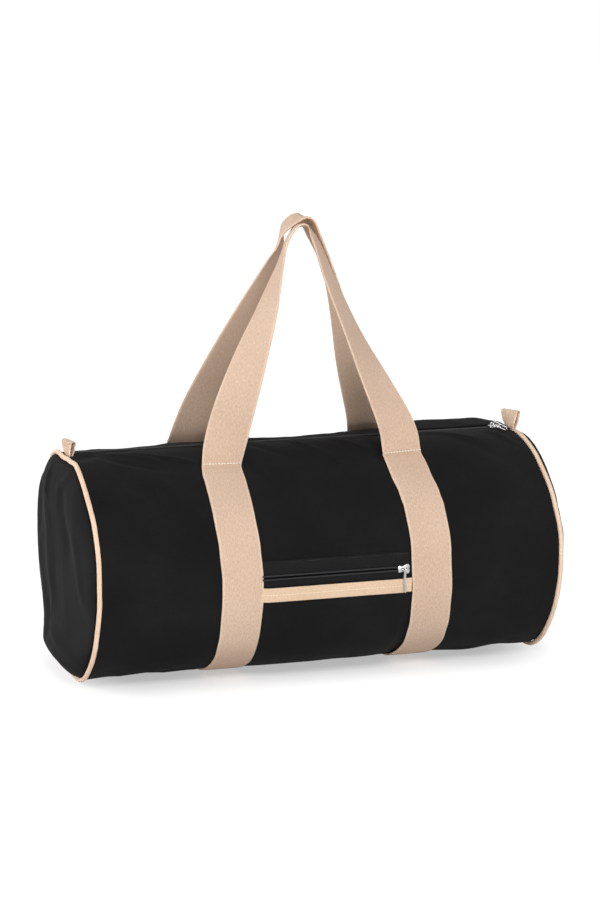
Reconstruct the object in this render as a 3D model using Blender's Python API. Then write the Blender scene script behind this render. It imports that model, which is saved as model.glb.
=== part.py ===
"""Barrel sports bag: canvas barrel with piped round ends, webbing straps and handles, and two zips.

X runs along the bag, the front with the pocket faces -Y, and Z is up. The origin is on the floor
under the middle of the bag, and all sizes are in metres.
"""
import math

import bmesh
import bpy
from mathutils import Matrix, Vector

# Clearance between pieces that touch
FIT = 0.0003

# Cloth, webbing and cord
CANVAS_THICKNESS = 0.0010
WEBBING_WIDTH = 0.040
WEBBING_THICKNESS = 0.0025
BINDING_THICKNESS = 0.0005
PIPING_DIAMETER = 0.0045
PIPING_WALL = 0.0007
PIPING_TAIL_THICKNESS = 0.0005

# Barrel
BODY_LENGTH = 0.456
BODY_DEPTH = 0.248
BODY_HEIGHT = 0.2125
TOP_FLAT_HALF_WIDTH = 0.0172
BASE_FLAT_HALF_WIDTH = 0.038
UPPER_FULLNESS_SHARE = 1.73
LOWER_FULLNESS_SHARE = 1.65
ARC_STEPS = 9
SEAM_ALLOWANCE = 0.010
END_BULGE = 0.010
END_RING_SHARES = (0.93, 0.80, 0.60, 0.36, 0.12)

# Zips: the same chain closes the mouth and the pocket
TAPE_WIDTH = 0.015
TAPE_THICKNESS = 0.0005
CHAIN_GAP_HALF_WIDTH = 0.00075
COIL_WIDTH = 0.0020
COIL_HEIGHT = 0.0017
MOUTH_HALF_WIDTH = 0.0062
TAPE_MARGIN = 0.0005

# Zip sliders and their ring pullers
SLIDER_LENGTH = 0.0112
SLIDER_PLATE_THICKNESS = 0.0007
SLIDER_FLANGE_THICKNESS = 0.0006
SLIDER_WEB_THICKNESS = 0.0009
SLIDER_SHOULDER_WIDTH = 0.0094
SLIDER_SHOULDER_SHARES = ((0.0, 0.35), (0.12, 0.20), (0.38, 0.0), (0.62, 0.55), (0.80, 1.0), (0.94, 0.92), (1.0, 0.45))
BAIL_LENGTH = 0.0078
BAIL_WIDTH = 0.0010
PULLER_LENGTH = 0.0252
PULLER_WIDTH = 0.0045
PULLER_WIRE_DIAMETER = 0.0012
PULLER_BEND_STEPS = 7
WIRE_SIDES = 8
MAIN_SLIDER_INSET = 0.024
MAIN_PULLER_DROOP_DEG = 2.5
MAIN_PULLER_YAW_DEG = 20.0
POCKET_SLIDER_INSET = 0.0065

# Straps and handles
STRAP_SPACING = 0.186
STRAP_END_DROP = 0.0083
HANDLE_RISE = 0.2145
HANDLE_STACK_GAP = 0.0022
HANDLE_APEX_OFFSET = 0.012
HANDLE_APEX_TILT_SHARE = 0.08
HANDLE_FOOT_OVERRUN = 0.0004
HANDLE_STEPS = 4
# Each row: share of the half spacing, of the lean to the middle, of the rise, and of the quarter turn
FRONT_HANDLE_SHARES = (
    (1.000, 0.000, 0.000, 0.00),
    (0.985, 0.060, 0.090, 0.03),
    (0.843, 0.219, 0.210, 0.20),
    (0.663, 0.469, 0.396, 0.47),
    (0.490, 0.621, 0.567, 0.71),
    (0.342, 0.724, 0.714, 0.93),
    (0.231, 0.800, 0.855, 1.00),
    (0.160, 0.870, 0.935, 1.00),
    (0.000, 1.000, 1.000, 1.00),
)
BACK_HANDLE_SHARES = (
    (1.000, 0.000, 0.000, 0.00),
    (0.990, 0.060, 0.090, 0.03),
    (0.870, 0.219, 0.210, 0.20),
    (0.715, 0.469, 0.396, 0.47),
    (0.570, 0.621, 0.567, 0.71),
    (0.435, 0.724, 0.714, 0.93),
    (0.315, 0.800, 0.855, 1.00),
    (0.220, 0.870, 0.930, 1.00),
    (0.000, 1.000, 1.000, 1.00),
)

# End loops at the two ends of the mouth
LOOP_WIDTH = 0.020
LOOP_THICKNESS = 0.0015
LOOP_HEIGHT = 0.0165
LOOP_TAIL = 0.008
LOOP_OPENING = 0.0024
LOOP_NOTCH_CLEARANCE = 0.0006
LOOP_TURN_LEFT_DEG = 12.0
LOOP_TURN_RIGHT_DEG = 33.0
LOOP_FOLD_STEPS = 6

# Front pocket
POCKET_ZIP_HEIGHT = 0.1079
POCKET_EDGE_DROP = 0.0086
TRIM_DROP = 0.0094
TRIM_WIDTH = 0.0139
TRIM_THICKNESS = 0.0007
SIDE_FLAT_DROP = 0.0136
POCKET_BULGE = 0.0066
POCKET_SAG = 0.8
POCKET_COLUMNS = 12

BASE_Z = FIT + WEBBING_THICKNESS
TOP_Z = BASE_Z + BODY_HEIGHT
HALF_LENGTH = BODY_LENGTH / 2
HALF_DEPTH = BODY_DEPTH / 2
POCKET_ZIP_Z = BASE_Z + POCKET_ZIP_HEIGHT
SIDE_FLAT_BOTTOM_Z = POCKET_ZIP_Z - SIDE_FLAT_DROP
SIDE_FLAT_TOP_Z = POCKET_ZIP_Z + CHAIN_GAP_HALF_WIDTH + TAPE_WIDTH + TAPE_MARGIN
PIPING_RADIUS = PIPING_DIAMETER / 2
CORD_RADIUS = PIPING_RADIUS - PIPING_WALL - FIT
TAIL_HALF = FIT / 2 + PIPING_TAIL_THICKNESS
ALLOWANCE_INNER = TAIL_HALF + FIT
ALLOWANCE_OUTER = ALLOWANCE_INNER + CANVAS_THICKNESS
BINDING_OUTER = ALLOWANCE_OUTER + FIT + BINDING_THICKNESS
LOOP_OUTBOARD = BINDING_OUTER + FIT
LOOP_INBOARD = LOOP_OUTBOARD + 2 * LOOP_THICKNESS + FIT
ZIP_HALF_LENGTH = HALF_LENGTH - LOOP_INBOARD - FIT
STRAP_HALF_SPACING = STRAP_SPACING / 2
POCKET_HALF_LENGTH = STRAP_HALF_SPACING - WEBBING_WIDTH / 2 - FIT
MAIN_SLIDER_X = HALF_LENGTH - MAIN_SLIDER_INSET
POCKET_SLIDER_X = POCKET_HALF_LENGTH - POCKET_SLIDER_INSET


# Scene and materials
for old in list(bpy.data.objects):
    bpy.data.objects.remove(old, do_unlink=True)


def material(name, colour, roughness, metallic=0.0):
    made = bpy.data.materials.new(name)
    made.use_nodes = True
    shader = made.node_tree.nodes["Principled BSDF"]
    shader.inputs["Base Color"].default_value = (*colour, 1.0)
    shader.inputs["Roughness"].default_value = roughness
    shader.inputs["Metallic"].default_value = metallic
    return made


CANVAS = material("black_canvas", (0.014, 0.013, 0.013), 0.85)
WEBBING = material("natural_webbing", (0.66, 0.50, 0.36), 0.85)
PIPING = material("natural_piping", (0.72, 0.53, 0.38), 0.80)
BINDING = material("black_binding", (0.020, 0.019, 0.019), 0.85)
ZIP_TAPE = material("black_zip_tape", (0.018, 0.018, 0.019), 0.80)
ZIP_COIL = material("black_zip_coil", (0.022, 0.022, 0.024), 0.45)
NICKEL = material("bright_nickel", (0.72, 0.71, 0.69), 0.22, 1.0)


# Mesh helpers
def finish(name, bm, finish_material, smooth_deg=40.0):
    """Turn a bmesh into a named object with outward faces."""
    bmesh.ops.recalc_face_normals(bm, faces=bm.faces)
    mesh = bpy.data.meshes.new(name)
    bm.to_mesh(mesh)
    bm.free()
    mesh.materials.append(finish_material)
    mesh.shade_smooth()
    mesh.set_sharp_from_angle(angle=math.radians(smooth_deg))
    made = bpy.data.objects.new(name, mesh)
    bpy.context.scene.collection.objects.link(made)
    return made


def loft(name, loops, finish_material, ring=False):
    """Skin a row of equal loops of points, closed into a ring or capped at both ends."""
    bm = bmesh.new()
    rows = [[bm.verts.new(point) for point in loop] for loop in loops]
    following = rows[1:] + rows[:1] if ring else rows[1:]
    for near, far in zip(rows, following):
        for i in range(len(near)):
            j = (i + 1) % len(near)
            bm.faces.new((near[i], near[j], far[j], far[i]))
    if not ring:
        bm.faces.new(list(reversed(rows[0])))
        bm.faces.new(rows[-1])
    return finish(name, bm, finish_material)


def place(made, matrix):
    """Set an object by its world matrix, with its origin on the joint that moves it."""
    made.matrix_world = matrix
    return made


def cut(target, tool):
    tool.hide_render = True
    tool.display_type = "WIRE"
    modifier = target.modifiers.new("notch", "BOOLEAN")
    modifier.operation = "DIFFERENCE"
    modifier.object = tool


def unite(target, tool):
    tool.hide_render = True
    tool.display_type = "WIRE"
    modifier = target.modifiers.new("join", "BOOLEAN")
    modifier.operation = "UNION"
    modifier.object = tool


# Section of the barrel: points (y, z) of its outer face, from the top down the front and up the back
def arc(centre, across, up, fullness, from_top):
    """A quarter of a superellipse, stepped from its top to its side or from its side to its base."""
    points = []
    for step in range(ARC_STEPS + 1):
        turn = math.pi / 2 * step / ARC_STEPS
        wide, tall = (math.sin(turn), math.cos(turn)) if from_top else (math.cos(turn), math.sin(turn))
        wide, tall = abs(wide) ** (2 / fullness), abs(tall) ** (2 / fullness)
        points.append((centre[0] - across * wide, centre[1] + up * tall))
    return points


def section_outline():
    upper = arc(
        (-TOP_FLAT_HALF_WIDTH, SIDE_FLAT_TOP_Z), HALF_DEPTH - TOP_FLAT_HALF_WIDTH,
        TOP_Z - SIDE_FLAT_TOP_Z, UPPER_FULLNESS_SHARE, True,
    )
    lower = arc(
        (-BASE_FLAT_HALF_WIDTH, SIDE_FLAT_BOTTOM_Z), HALF_DEPTH - BASE_FLAT_HALF_WIDTH,
        BASE_Z - SIDE_FLAT_BOTTOM_Z, LOWER_FULLNESS_SHARE, False,
    )
    front = upper + lower
    return front + [(-y, z) for y, z in reversed(front)]


OUTLINE = section_outline()
COUNT = len(OUTLINE)
SIDE_COUNT = COUNT // 2


def edge_normal(index):
    """Outward normal of the side of the section that starts at a point."""
    y0, z0 = OUTLINE[index % COUNT]
    y1, z1 = OUTLINE[(index + 1) % COUNT]
    length = math.hypot(y1 - y0, z1 - z0)
    return (z1 - z0) / length, -(y1 - y0) / length


def corner(index):
    """A point of the section and the mitre vector along which an offset moves it."""
    before, after = edge_normal(index - 1), edge_normal(index)
    scale = 1 + before[0] * after[0] + before[1] * after[1]
    y, z = OUTLINE[index % COUNT]
    return y, z, (before[0] + after[0]) / scale, (before[1] + after[1]) / scale


def station(position):
    """The same at any place along the section, counted in points from the top of the front."""
    index = math.floor(position)
    share = position - index
    near, far = corner(index), corner(index + 1)
    return tuple(a + (b - a) * share for a, b in zip(near, far))


def stations(start, end):
    """Stations from start to end, with every corner of the section between them."""
    inner = range(math.floor(start) + 1, math.ceil(end))
    return [station(start)] + [station(index) for index in inner] + [station(end)]


def position_at_height(z):
    """Place along the front of the section at a height."""
    for index in range(SIDE_COUNT - 1):
        high, low = OUTLINE[index][1], OUTLINE[index + 1][1]
        if high >= z >= low and high > low:
            return index + (high - z) / (high - low)
    raise ValueError("no such height on the section")


def at(place_on_section, x, offset):
    """World point at x, standing off the barrel's outer face by offset."""
    y, z, off_y, off_z = place_on_section
    return Vector((x, y + off_y * offset, z + off_z * offset))


def sweep(name, profile, places, finish_material, ring=False):
    """Sweep a profile of (x, offset) points round the section."""
    loops = [[at(where, x, offset) for x, offset in profile] for where in places]
    return loft(name, loops, finish_material, ring)


def strip_profile(x_low, x_high, offset, thickness):
    return [(x_low, offset), (x_high, offset), (x_high, offset + thickness), (x_low, offset + thickness)]


# Barrel: body panel, end panels, piping and binding
def panel_edge(side):
    """Half of the body panel's profile: outer face, turned-in seam allowance, inner face."""
    clear = PIPING_RADIUS + FIT
    bend = clear / math.sqrt(2)
    seam = side * HALF_LENGTH
    outer = [
        (seam - side * clear, 0.0),
        (seam - side * (bend + FIT), -bend),
        (seam - side * ALLOWANCE_INNER, -clear),
        (seam - side * ALLOWANCE_INNER, -SEAM_ALLOWANCE),
        (seam - side * ALLOWANCE_OUTER, -SEAM_ALLOWANCE),
        (seam - side * ALLOWANCE_OUTER, -clear - CANVAS_THICKNESS),
        (seam - side * (clear + CANVAS_THICKNESS), -CANVAS_THICKNESS),
    ]
    return outer


def make_body_panel():
    mouth_front = (-MOUTH_HALF_WIDTH, TOP_Z, 0.0, 1.0)
    mouth_back = (MOUTH_HALF_WIDTH, TOP_Z, 0.0, 1.0)
    places = [mouth_front] + [corner(index) for index in range(COUNT)] + [mouth_back]
    profile = panel_edge(1) + list(reversed(panel_edge(-1)))
    panel = sweep("body_panel", profile, places, CANVAS)
    notch_inner = LOOP_INBOARD + FIT
    for side in (-1, 1):
        half = LOOP_WIDTH / 2 + LOOP_NOTCH_CLEARANCE
        outer_x = side * (HALF_LENGTH + PIPING_RADIUS)
        inner_x = side * (HALF_LENGTH - notch_inner)
        low_z, high_z = TOP_Z - 2 * SEAM_ALLOWANCE, TOP_Z + SEAM_ALLOWANCE
        loops = [
            [(x, -half, low_z), (x, half, low_z), (x, half, high_z), (x, -half, high_z)]
            for x in (inner_x, outer_x)
        ]
        cut(panel, loft("loop_notch_cutter", loops, CANVAS))
    return panel


def make_end_panel(name, side):
    """A shallow dome: rings of the section, drawn in towards its middle and pushed outwards."""
    middle_z = (SIDE_FLAT_TOP_Z + SIDE_FLAT_BOTTOM_Z) / 2
    seam = side * HALF_LENGTH
    rim_inset = -PIPING_RADIUS - FIT

    def ring_at(share, out):
        points = []
        for index in range(COUNT):
            rim = at(corner(index), seam + side * out, rim_inset)
            rim.y *= share
            rim.z = middle_z + (rim.z - middle_z) * share
            points.append(rim)
        return points

    outs = [(share, ALLOWANCE_INNER + END_BULGE * (1 - share * share) ** 0.75) for share in END_RING_SHARES]
    inner = [ring_at(share, out) for share, out in reversed(outs)] + [ring_at(1.0, ALLOWANCE_INNER)]
    outer = [ring_at(1.0, ALLOWANCE_OUTER)] + [ring_at(share, out + CANVAS_THICKNESS) for share, out in outs]
    return loft(name, inner + outer, CANVAS)


def make_piping_cover(name, side):
    """Bias strip folded round the cord, with its two tails running into the seam."""
    seam = side * HALF_LENGTH
    bore = PIPING_RADIUS - PIPING_WALL
    outer_start = math.asin(TAIL_HALF / PIPING_RADIUS)
    inner_start = math.asin(FIT / 2 / bore)
    outer_points, inner_points = [], []
    for step in range(9):
        turn = outer_start + (2 * math.pi - 2 * outer_start) * step / 8
        outer_points.append((seam + PIPING_RADIUS * math.sin(turn), -PIPING_RADIUS * math.cos(turn)))
    for step in range(7):
        turn = inner_start + (2 * math.pi - 2 * inner_start) * step / 6
        inner_points.append((seam + bore * math.sin(turn), -bore * math.cos(turn)))
    profile = (
        [(seam + TAIL_HALF, -SEAM_ALLOWANCE)] + outer_points + [(seam - TAIL_HALF, -SEAM_ALLOWANCE)]
        + [(seam - FIT / 2, -SEAM_ALLOWANCE)] + list(reversed(inner_points))
        + [(seam + FIT / 2, -SEAM_ALLOWANCE)]
    )
    places = [corner(index) for index in range(COUNT)]
    return sweep(name, profile, places, PIPING, ring=True)


def make_piping_cord(name, side):
    seam = side * HALF_LENGTH
    turns = [2 * math.pi * step / 6 for step in range(6)]
    profile = [(seam + CORD_RADIUS * math.cos(turn), CORD_RADIUS * math.sin(turn)) for turn in turns]
    places = [corner(index) for index in range(COUNT)]
    return sweep(name, profile, places, PIPING, ring=True)


def make_binding(name, side):
    """Tape folded round the raw edges of the seam, inside the bag."""
    seam = side * HALF_LENGTH
    body_side = ALLOWANCE_OUTER + FIT
    end_side = TAIL_HALF + FIT
    leg = -SEAM_ALLOWANCE / 2
    floor = -SEAM_ALLOWANCE - FIT
    profile = [
        (seam - side * body_side, leg),
        (seam - side * body_side, floor),
        (seam + side * end_side, floor),
        (seam + side * end_side, leg),
        (seam + side * (end_side + BINDING_THICKNESS), leg),
        (seam + side * (end_side + BINDING_THICKNESS), floor - BINDING_THICKNESS),
        (seam - side * (body_side + BINDING_THICKNESS), floor - BINDING_THICKNESS),
        (seam - side * (body_side + BINDING_THICKNESS), leg),
    ]
    places = [corner(index) for index in range(COUNT)]
    return sweep(name, profile, places, BINDING, ring=True)


# Straps: one band of webbing from the front stitches under the bag to the back stitches
STRAP_END_POSITION = position_at_height(TOP_Z - STRAP_END_DROP)


def make_strap(name, side):
    middle = side * STRAP_HALF_SPACING
    profile = strip_profile(middle - WEBBING_WIDTH / 2, middle + WEBBING_WIDTH / 2, FIT, WEBBING_THICKNESS)
    places = stations(STRAP_END_POSITION, COUNT - 1 - STRAP_END_POSITION)
    return sweep(name, profile, places, WEBBING)


# Handles: each is one ribbon that turns a quarter on the way up to its apex and back
HANDLE_HINGE = at(station(STRAP_END_POSITION), 0.0, 2 * FIT + 1.5 * WEBBING_THICKNESS)


def smooth_path(points):
    """Points on a Catmull-Rom curve through the given ones; each point is a list of numbers."""
    ends = [[2 * a - b for a, b in zip(points[0], points[1])]]
    ends += points
    ends += [[2 * a - b for a, b in zip(points[-1], points[-2])]]
    path = []
    for i in range(1, len(ends) - 2):
        for step in range(HANDLE_STEPS):
            t = step / HANDLE_STEPS
            path.append([
                ((2 * p1) + (p2 - p0) * t + (2 * p0 - 5 * p1 + 4 * p2 - p3) * t ** 2
                 + (3 * p1 - p0 - 3 * p2 + p3) * t ** 3) / 2
                for p0, p1, p2, p3 in zip(ends[i - 1], ends[i], ends[i + 1], ends[i + 2])
            ])
    return path + [list(points[-1])]


def make_handle(name, face, shares, rise):
    """face is -1 for the front handle and 1 for the back one."""
    foot = Vector((0.0, face * -HANDLE_HINGE.y, HANDLE_HINGE.z))
    lean = face * HANDLE_APEX_OFFSET - foot.y
    leg = [
        [-STRAP_HALF_SPACING * wide, foot.y + lean * leant, foot.z + rise * up, turn * math.pi / 2]
        for wide, leant, up, turn in shares
    ]
    other = [[-x, y, z, math.pi - turn] for x, y, z, turn in reversed(leg[:-1])]
    path = smooth_path(leg + other)
    loops = []
    for i, (x, y, z, turn) in enumerate(path):
        before, after = path[max(i - 1, 0)], path[min(i + 1, len(path) - 1)]
        along = Vector((after[0] - before[0], after[1] - before[1], after[2] - before[2])).normalized()
        tilt = HANDLE_APEX_TILT_SHARE * math.sin(turn)
        across = Vector((math.cos(turn), face * math.sin(turn), -face * tilt)).normalized()
        square = min(1.0, (z - foot.z) / (rise * shares[1][2]))
        across = (across - along * across.dot(along) * square).normalized()
        if square < 1.0:
            along = (along - Vector((along.x, 0.0, 0.0)) * (1.0 - square)).normalized()
        out = along.cross(across).normalized()
        centre = Vector((x, y, z))
        if i in (0, len(path) - 1):
            centre.z -= HANDLE_FOOT_OVERRUN
        wide, thick = across * WEBBING_WIDTH / 2, out * WEBBING_THICKNESS / 2
        corners = [centre - wide - thick, centre + wide - thick, centre + wide + thick, centre - wide + thick]
        loops.append([point - foot for point in corners])
    return place(loft(name, loops, WEBBING), Matrix.Translation(foot))


# Zip chain: tapes and coils, drawn across (a) and outwards (h) from the plane behind the tapes
COIL_BACK = TAPE_THICKNESS + FIT
COIL_FRONT = COIL_BACK + COIL_HEIGHT
COIL_OUTER = CHAIN_GAP_HALF_WIDTH + COIL_WIDTH


def extrude_along(name, outline, half_length, to_world, finish_material):
    """A prism along X from an outline of (a, h) points."""
    loops = [[to_world(x, a, h) for a, h in outline] for x in (-half_length, half_length)]
    return loft(name, loops, finish_material)


def coil_outline(side):
    """One row of the chain, rounded on its outer corners."""
    low, high = CHAIN_GAP_HALF_WIDTH, COIL_OUTER
    round_off = COIL_HEIGHT / 3
    points = [
        (low, COIL_BACK), (high - round_off, COIL_BACK), (high, COIL_BACK + round_off),
        (high, COIL_FRONT - round_off), (high - round_off, COIL_FRONT), (low, COIL_FRONT),
    ]
    return [(side * a, h) for a, h in points]


def tape_outline(side):
    low, high = CHAIN_GAP_HALF_WIDTH, CHAIN_GAP_HALF_WIDTH + TAPE_WIDTH
    return [(side * low, 0.0), (side * high, 0.0), (side * high, TAPE_THICKNESS), (side * low, TAPE_THICKNESS)]


MAIN_TAPE_Z = TOP_Z - CANVAS_THICKNESS - FIT - TAPE_THICKNESS
POCKET_TAPE_OFFSET = 2 * FIT + SLIDER_PLATE_THICKNESS


def main_zip_point(x, a, h):
    return Vector((x, a, MAIN_TAPE_Z + h))


def pocket_zip_point(x, a, h):
    return Vector((x, -HALF_DEPTH - POCKET_TAPE_OFFSET - h, POCKET_ZIP_Z + a))


def make_main_zip():
    for name, side in (("front", -1), ("back", 1)):
        extrude_along("main_zip_tape_" + name, tape_outline(side), ZIP_HALF_LENGTH, main_zip_point, ZIP_TAPE)
        extrude_along("main_zip_coil_" + name, coil_outline(side), ZIP_HALF_LENGTH, main_zip_point, ZIP_COIL)


def make_pocket_zip():
    """The upper tape slopes back to the barrel, where its edge is sewn down."""
    top = CHAIN_GAP_HALF_WIDTH + TAPE_WIDTH
    bend = SLIDER_SHOULDER_WIDTH / 2 + FIT
    sewn = FIT - POCKET_TAPE_OFFSET
    upper = [
        (CHAIN_GAP_HALF_WIDTH, 0.0), (bend, 0.0), (top, sewn),
        (top, sewn + TAPE_THICKNESS), (bend, TAPE_THICKNESS), (CHAIN_GAP_HALF_WIDTH, TAPE_THICKNESS),
    ]
    length = POCKET_HALF_LENGTH
    extrude_along("pocket_zip_tape_upper", upper, length, pocket_zip_point, ZIP_TAPE)
    extrude_along("pocket_zip_tape_lower", tape_outline(-1), length, pocket_zip_point, ZIP_TAPE)
    extrude_along("pocket_zip_coil_upper", coil_outline(1), length, pocket_zip_point, ZIP_COIL)
    extrude_along("pocket_zip_coil_lower", coil_outline(-1), length, pocket_zip_point, ZIP_COIL)


# Zip sliders: two plates joined by a web that runs in the slit of the chain, with a bail on top
PLATE_BOTTOM = -FIT - SLIDER_PLATE_THICKNESS
TOP_PLATE_BOTTOM = COIL_FRONT + FIT
TOP_PLATE_TOP = TOP_PLATE_BOTTOM + SLIDER_PLATE_THICKNESS
FLANGE_INNER = COIL_OUTER + FIT
WAIST_HALF = FLANGE_INNER + SLIDER_FLANGE_THICKNESS
WIRE_RADIUS = PULLER_WIRE_DIAMETER / 2
RING_HALF = PULLER_WIDTH / 2 - WIRE_RADIUS
BAIL_REACH = RING_HALF + WIRE_RADIUS + FIT
BAIL_AXIS = TOP_PLATE_TOP + BAIL_REACH


def slider_section(half):
    """Half of the slider's cross-section, mirrored to the other side by the caller."""
    web = SLIDER_WEB_THICKNESS / 2
    return [
        (web, TOP_PLATE_BOTTOM), (FLANGE_INNER, TOP_PLATE_BOTTOM), (FLANGE_INNER, COIL_BACK),
        (half, COIL_BACK), (half, TOP_PLATE_TOP),
    ], [
        (half, PLATE_BOTTOM), (half, -FIT), (web, -FIT),
    ]


def make_slider(name, turn_to_world):
    """Local axes: x along the chain towards its open side, y across, z outwards; origin on the bail."""
    shoulder = SLIDER_SHOULDER_WIDTH / 2
    loops = []
    for along, wide in SLIDER_SHOULDER_SHARES:
        x = SLIDER_LENGTH * (along - 0.5)
        half = WAIST_HALF + (shoulder - WAIST_HALF) * wide
        upper, lower = slider_section(half)
        right = lower + upper
        left = [(-a, h) for a, h in reversed(right)]
        loops.append([(x, a, h - BAIL_AXIS) for a, h in right + left])
    slider = loft(name, loops, NICKEL)
    bar = BAIL_WIDTH / 2
    foot = -BAIL_REACH - SLIDER_PLATE_THICKNESS / 2
    half = BAIL_LENGTH / 2
    inner = half - BAIL_WIDTH
    arch = [
        (-half, foot), (-inner, foot), (-inner, -2 * bar), (-inner + bar, -bar), (inner - bar, -bar),
        (inner, -2 * bar), (inner, foot), (half, foot), (half, -bar), (inner, bar), (-inner, bar), (-half, -bar),
    ]
    bail = loft(name + "_bail_tool", [[(x, y, z) for x, z in arch] for y in (-bar, bar)], NICKEL)
    unite(slider, bail)
    place(bail, turn_to_world)
    return place(slider, turn_to_world)


def make_puller(name, to_world):
    """A long wire ring round the bail's bar; local -y points down its length and x is its axis."""
    far_centre = PULLER_LENGTH - 2 * WIRE_RADIUS - 2 * RING_HALF
    path = []
    for centre, start in ((0.0, 0.0), (far_centre, math.pi)):
        for step in range(PULLER_BEND_STEPS + 1):
            turn = start + math.pi * step / PULLER_BEND_STEPS
            out = Vector((0.0, math.sin(turn), math.cos(turn)))
            path.append((Vector((0.0, -centre, 0.0)) + out * RING_HALF, out))
    loops = []
    for centre, out in path:
        loop = []
        for step in range(WIRE_SIDES):
            turn = 2 * math.pi * step / WIRE_SIDES
            loop.append(centre + WIRE_RADIUS * (out * math.cos(turn) + Vector((math.sin(turn), 0.0, 0.0))))
        loops.append(loop)
    return place(loft(name, loops, NICKEL, ring=True), to_world)


def make_sliders():
    main = Vector((MAIN_SLIDER_X, 0.0, MAIN_TAPE_Z + BAIL_AXIS))
    make_slider("main_slider", Matrix.Translation(main))
    droop = Matrix.Rotation(math.radians(MAIN_PULLER_DROOP_DEG), 4, "X")
    yaw = Matrix.Rotation(math.radians(MAIN_PULLER_YAW_DEG), 4, "Z")
    make_puller("main_puller", Matrix.Translation(main) @ droop @ yaw)
    pocket = pocket_zip_point(POCKET_SLIDER_X, 0.0, BAIL_AXIS)
    face_front = Matrix.Rotation(math.pi / 2, 4, "X")
    make_slider("pocket_slider", Matrix.Translation(pocket) @ face_front)
    make_puller("pocket_puller", Matrix.Translation(pocket) @ face_front)


# End loops: a folded piece of webbing whose tails go down into the seam
def make_loop(name, side, turn_deg):
    middle = HALF_LENGTH - LOOP_OUTBOARD - LOOP_THICKNESS - FIT / 2
    foot = (LOOP_THICKNESS + FIT) / 2
    spread = (LOOP_THICKNESS + LOOP_OPENING) / 2
    crown = LOOP_HEIGHT - LOOP_THICKNESS / 2 - spread
    leg = [(-foot, -LOOP_TAIL), (-foot, PIPING_RADIUS), (-spread, crown / 2), (-spread, crown)]
    fold = [
        (-spread * math.cos(turn), crown + spread * math.sin(turn))
        for turn in (math.pi * step / LOOP_FOLD_STEPS for step in range(1, LOOP_FOLD_STEPS))
    ]
    path = leg + fold + [(-x, z) for x, z in reversed(leg)]
    loops = []
    for i, (x, z) in enumerate(path):
        before, after = path[max(i - 1, 0)], path[min(i + 1, len(path) - 1)]
        along = Vector((after[0] - before[0], after[1] - before[1])).normalized()
        off = Vector((-along.y, along.x)) * LOOP_THICKNESS / 2
        raised = min(1.0, max(0.0, (z - PIPING_RADIUS) / crown))
        spin = Matrix.Rotation(math.radians(turn_deg) * raised, 4, "Z")
        loop = []
        for y, sign in ((-1, -1), (1, -1), (1, 1), (-1, 1)):
            point = Vector((x + sign * off.x, y * LOOP_WIDTH / 2, z + sign * off.y))
            loop.append(spin @ point + Vector((side * middle, 0.0, TOP_Z)))
        loops.append(loop)
    return loft(name, loops, WEBBING)


# Front pocket: a patch from the zip down under the front of the bag
PATCH_OFFSET = POCKET_TAPE_OFFSET + TAPE_THICKNESS + FIT


def make_pocket_panel():
    top = position_at_height(POCKET_ZIP_Z - POCKET_EDGE_DROP)
    places = stations(top, SIDE_COUNT - 1)
    steady = 2
    loops = []
    for row, where in enumerate(places):
        down = max(0, row - steady) / (len(places) - 1 - steady)
        base = PATCH_OFFSET + (FIT - PATCH_OFFSET) * down
        inner, outer = [], []
        for column in range(POCKET_COLUMNS + 1):
            across = 2 * column / POCKET_COLUMNS - 1
            x = across * POCKET_HALF_LENGTH
            rise = POCKET_BULGE * math.sin(math.pi * down ** POCKET_SAG) * (1 - across ** 4)
            inner.append(at(where, x, base + rise))
            outer.append(at(where, x, base + rise + CANVAS_THICKNESS))
        loops.append(inner + list(reversed(outer)))
    return loft("pocket_panel", loops, CANVAS)


def make_pocket_trim():
    start = position_at_height(POCKET_ZIP_Z - TRIM_DROP)
    end = position_at_height(POCKET_ZIP_Z - TRIM_DROP - TRIM_WIDTH)
    offset = PATCH_OFFSET + CANVAS_THICKNESS + FIT
    profile = strip_profile(-POCKET_HALF_LENGTH, POCKET_HALF_LENGTH, offset, TRIM_THICKNESS)
    return sweep("pocket_trim", profile, stations(start, end), WEBBING)


make_body_panel()
for side_name, x_side in (("left", -1), ("right", 1)):
    make_end_panel("end_panel_" + side_name, x_side)
    make_piping_cover("piping_cover_" + side_name, x_side)
    make_piping_cord("piping_cord_" + side_name, x_side)
    make_binding("seam_binding_" + side_name, x_side)
    make_strap("strap_" + side_name, x_side)
make_loop("loop_left", -1, LOOP_TURN_LEFT_DEG)
make_loop("loop_right", 1, LOOP_TURN_RIGHT_DEG)
make_handle("handle_front", -1, FRONT_HANDLE_SHARES, HANDLE_RISE)
make_handle("handle_back", 1, BACK_HANDLE_SHARES, HANDLE_RISE + WEBBING_THICKNESS + HANDLE_STACK_GAP)
make_main_zip()
make_pocket_zip()
make_sliders()
make_pocket_panel()
make_pocket_trim()
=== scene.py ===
# %% [markdown]
# # A barrel sports bag in canvas and webbing
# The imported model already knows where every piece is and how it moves. This lesson puts the real
# cloth, webbing, thread and metal on it. Each piece is cut flat, as it is on a cutting table, and is
# then carried to its place on the bag, so that its weave follows it.

import math

import bmesh
import bpy
from mathutils import Matrix, Vector, noise


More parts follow.
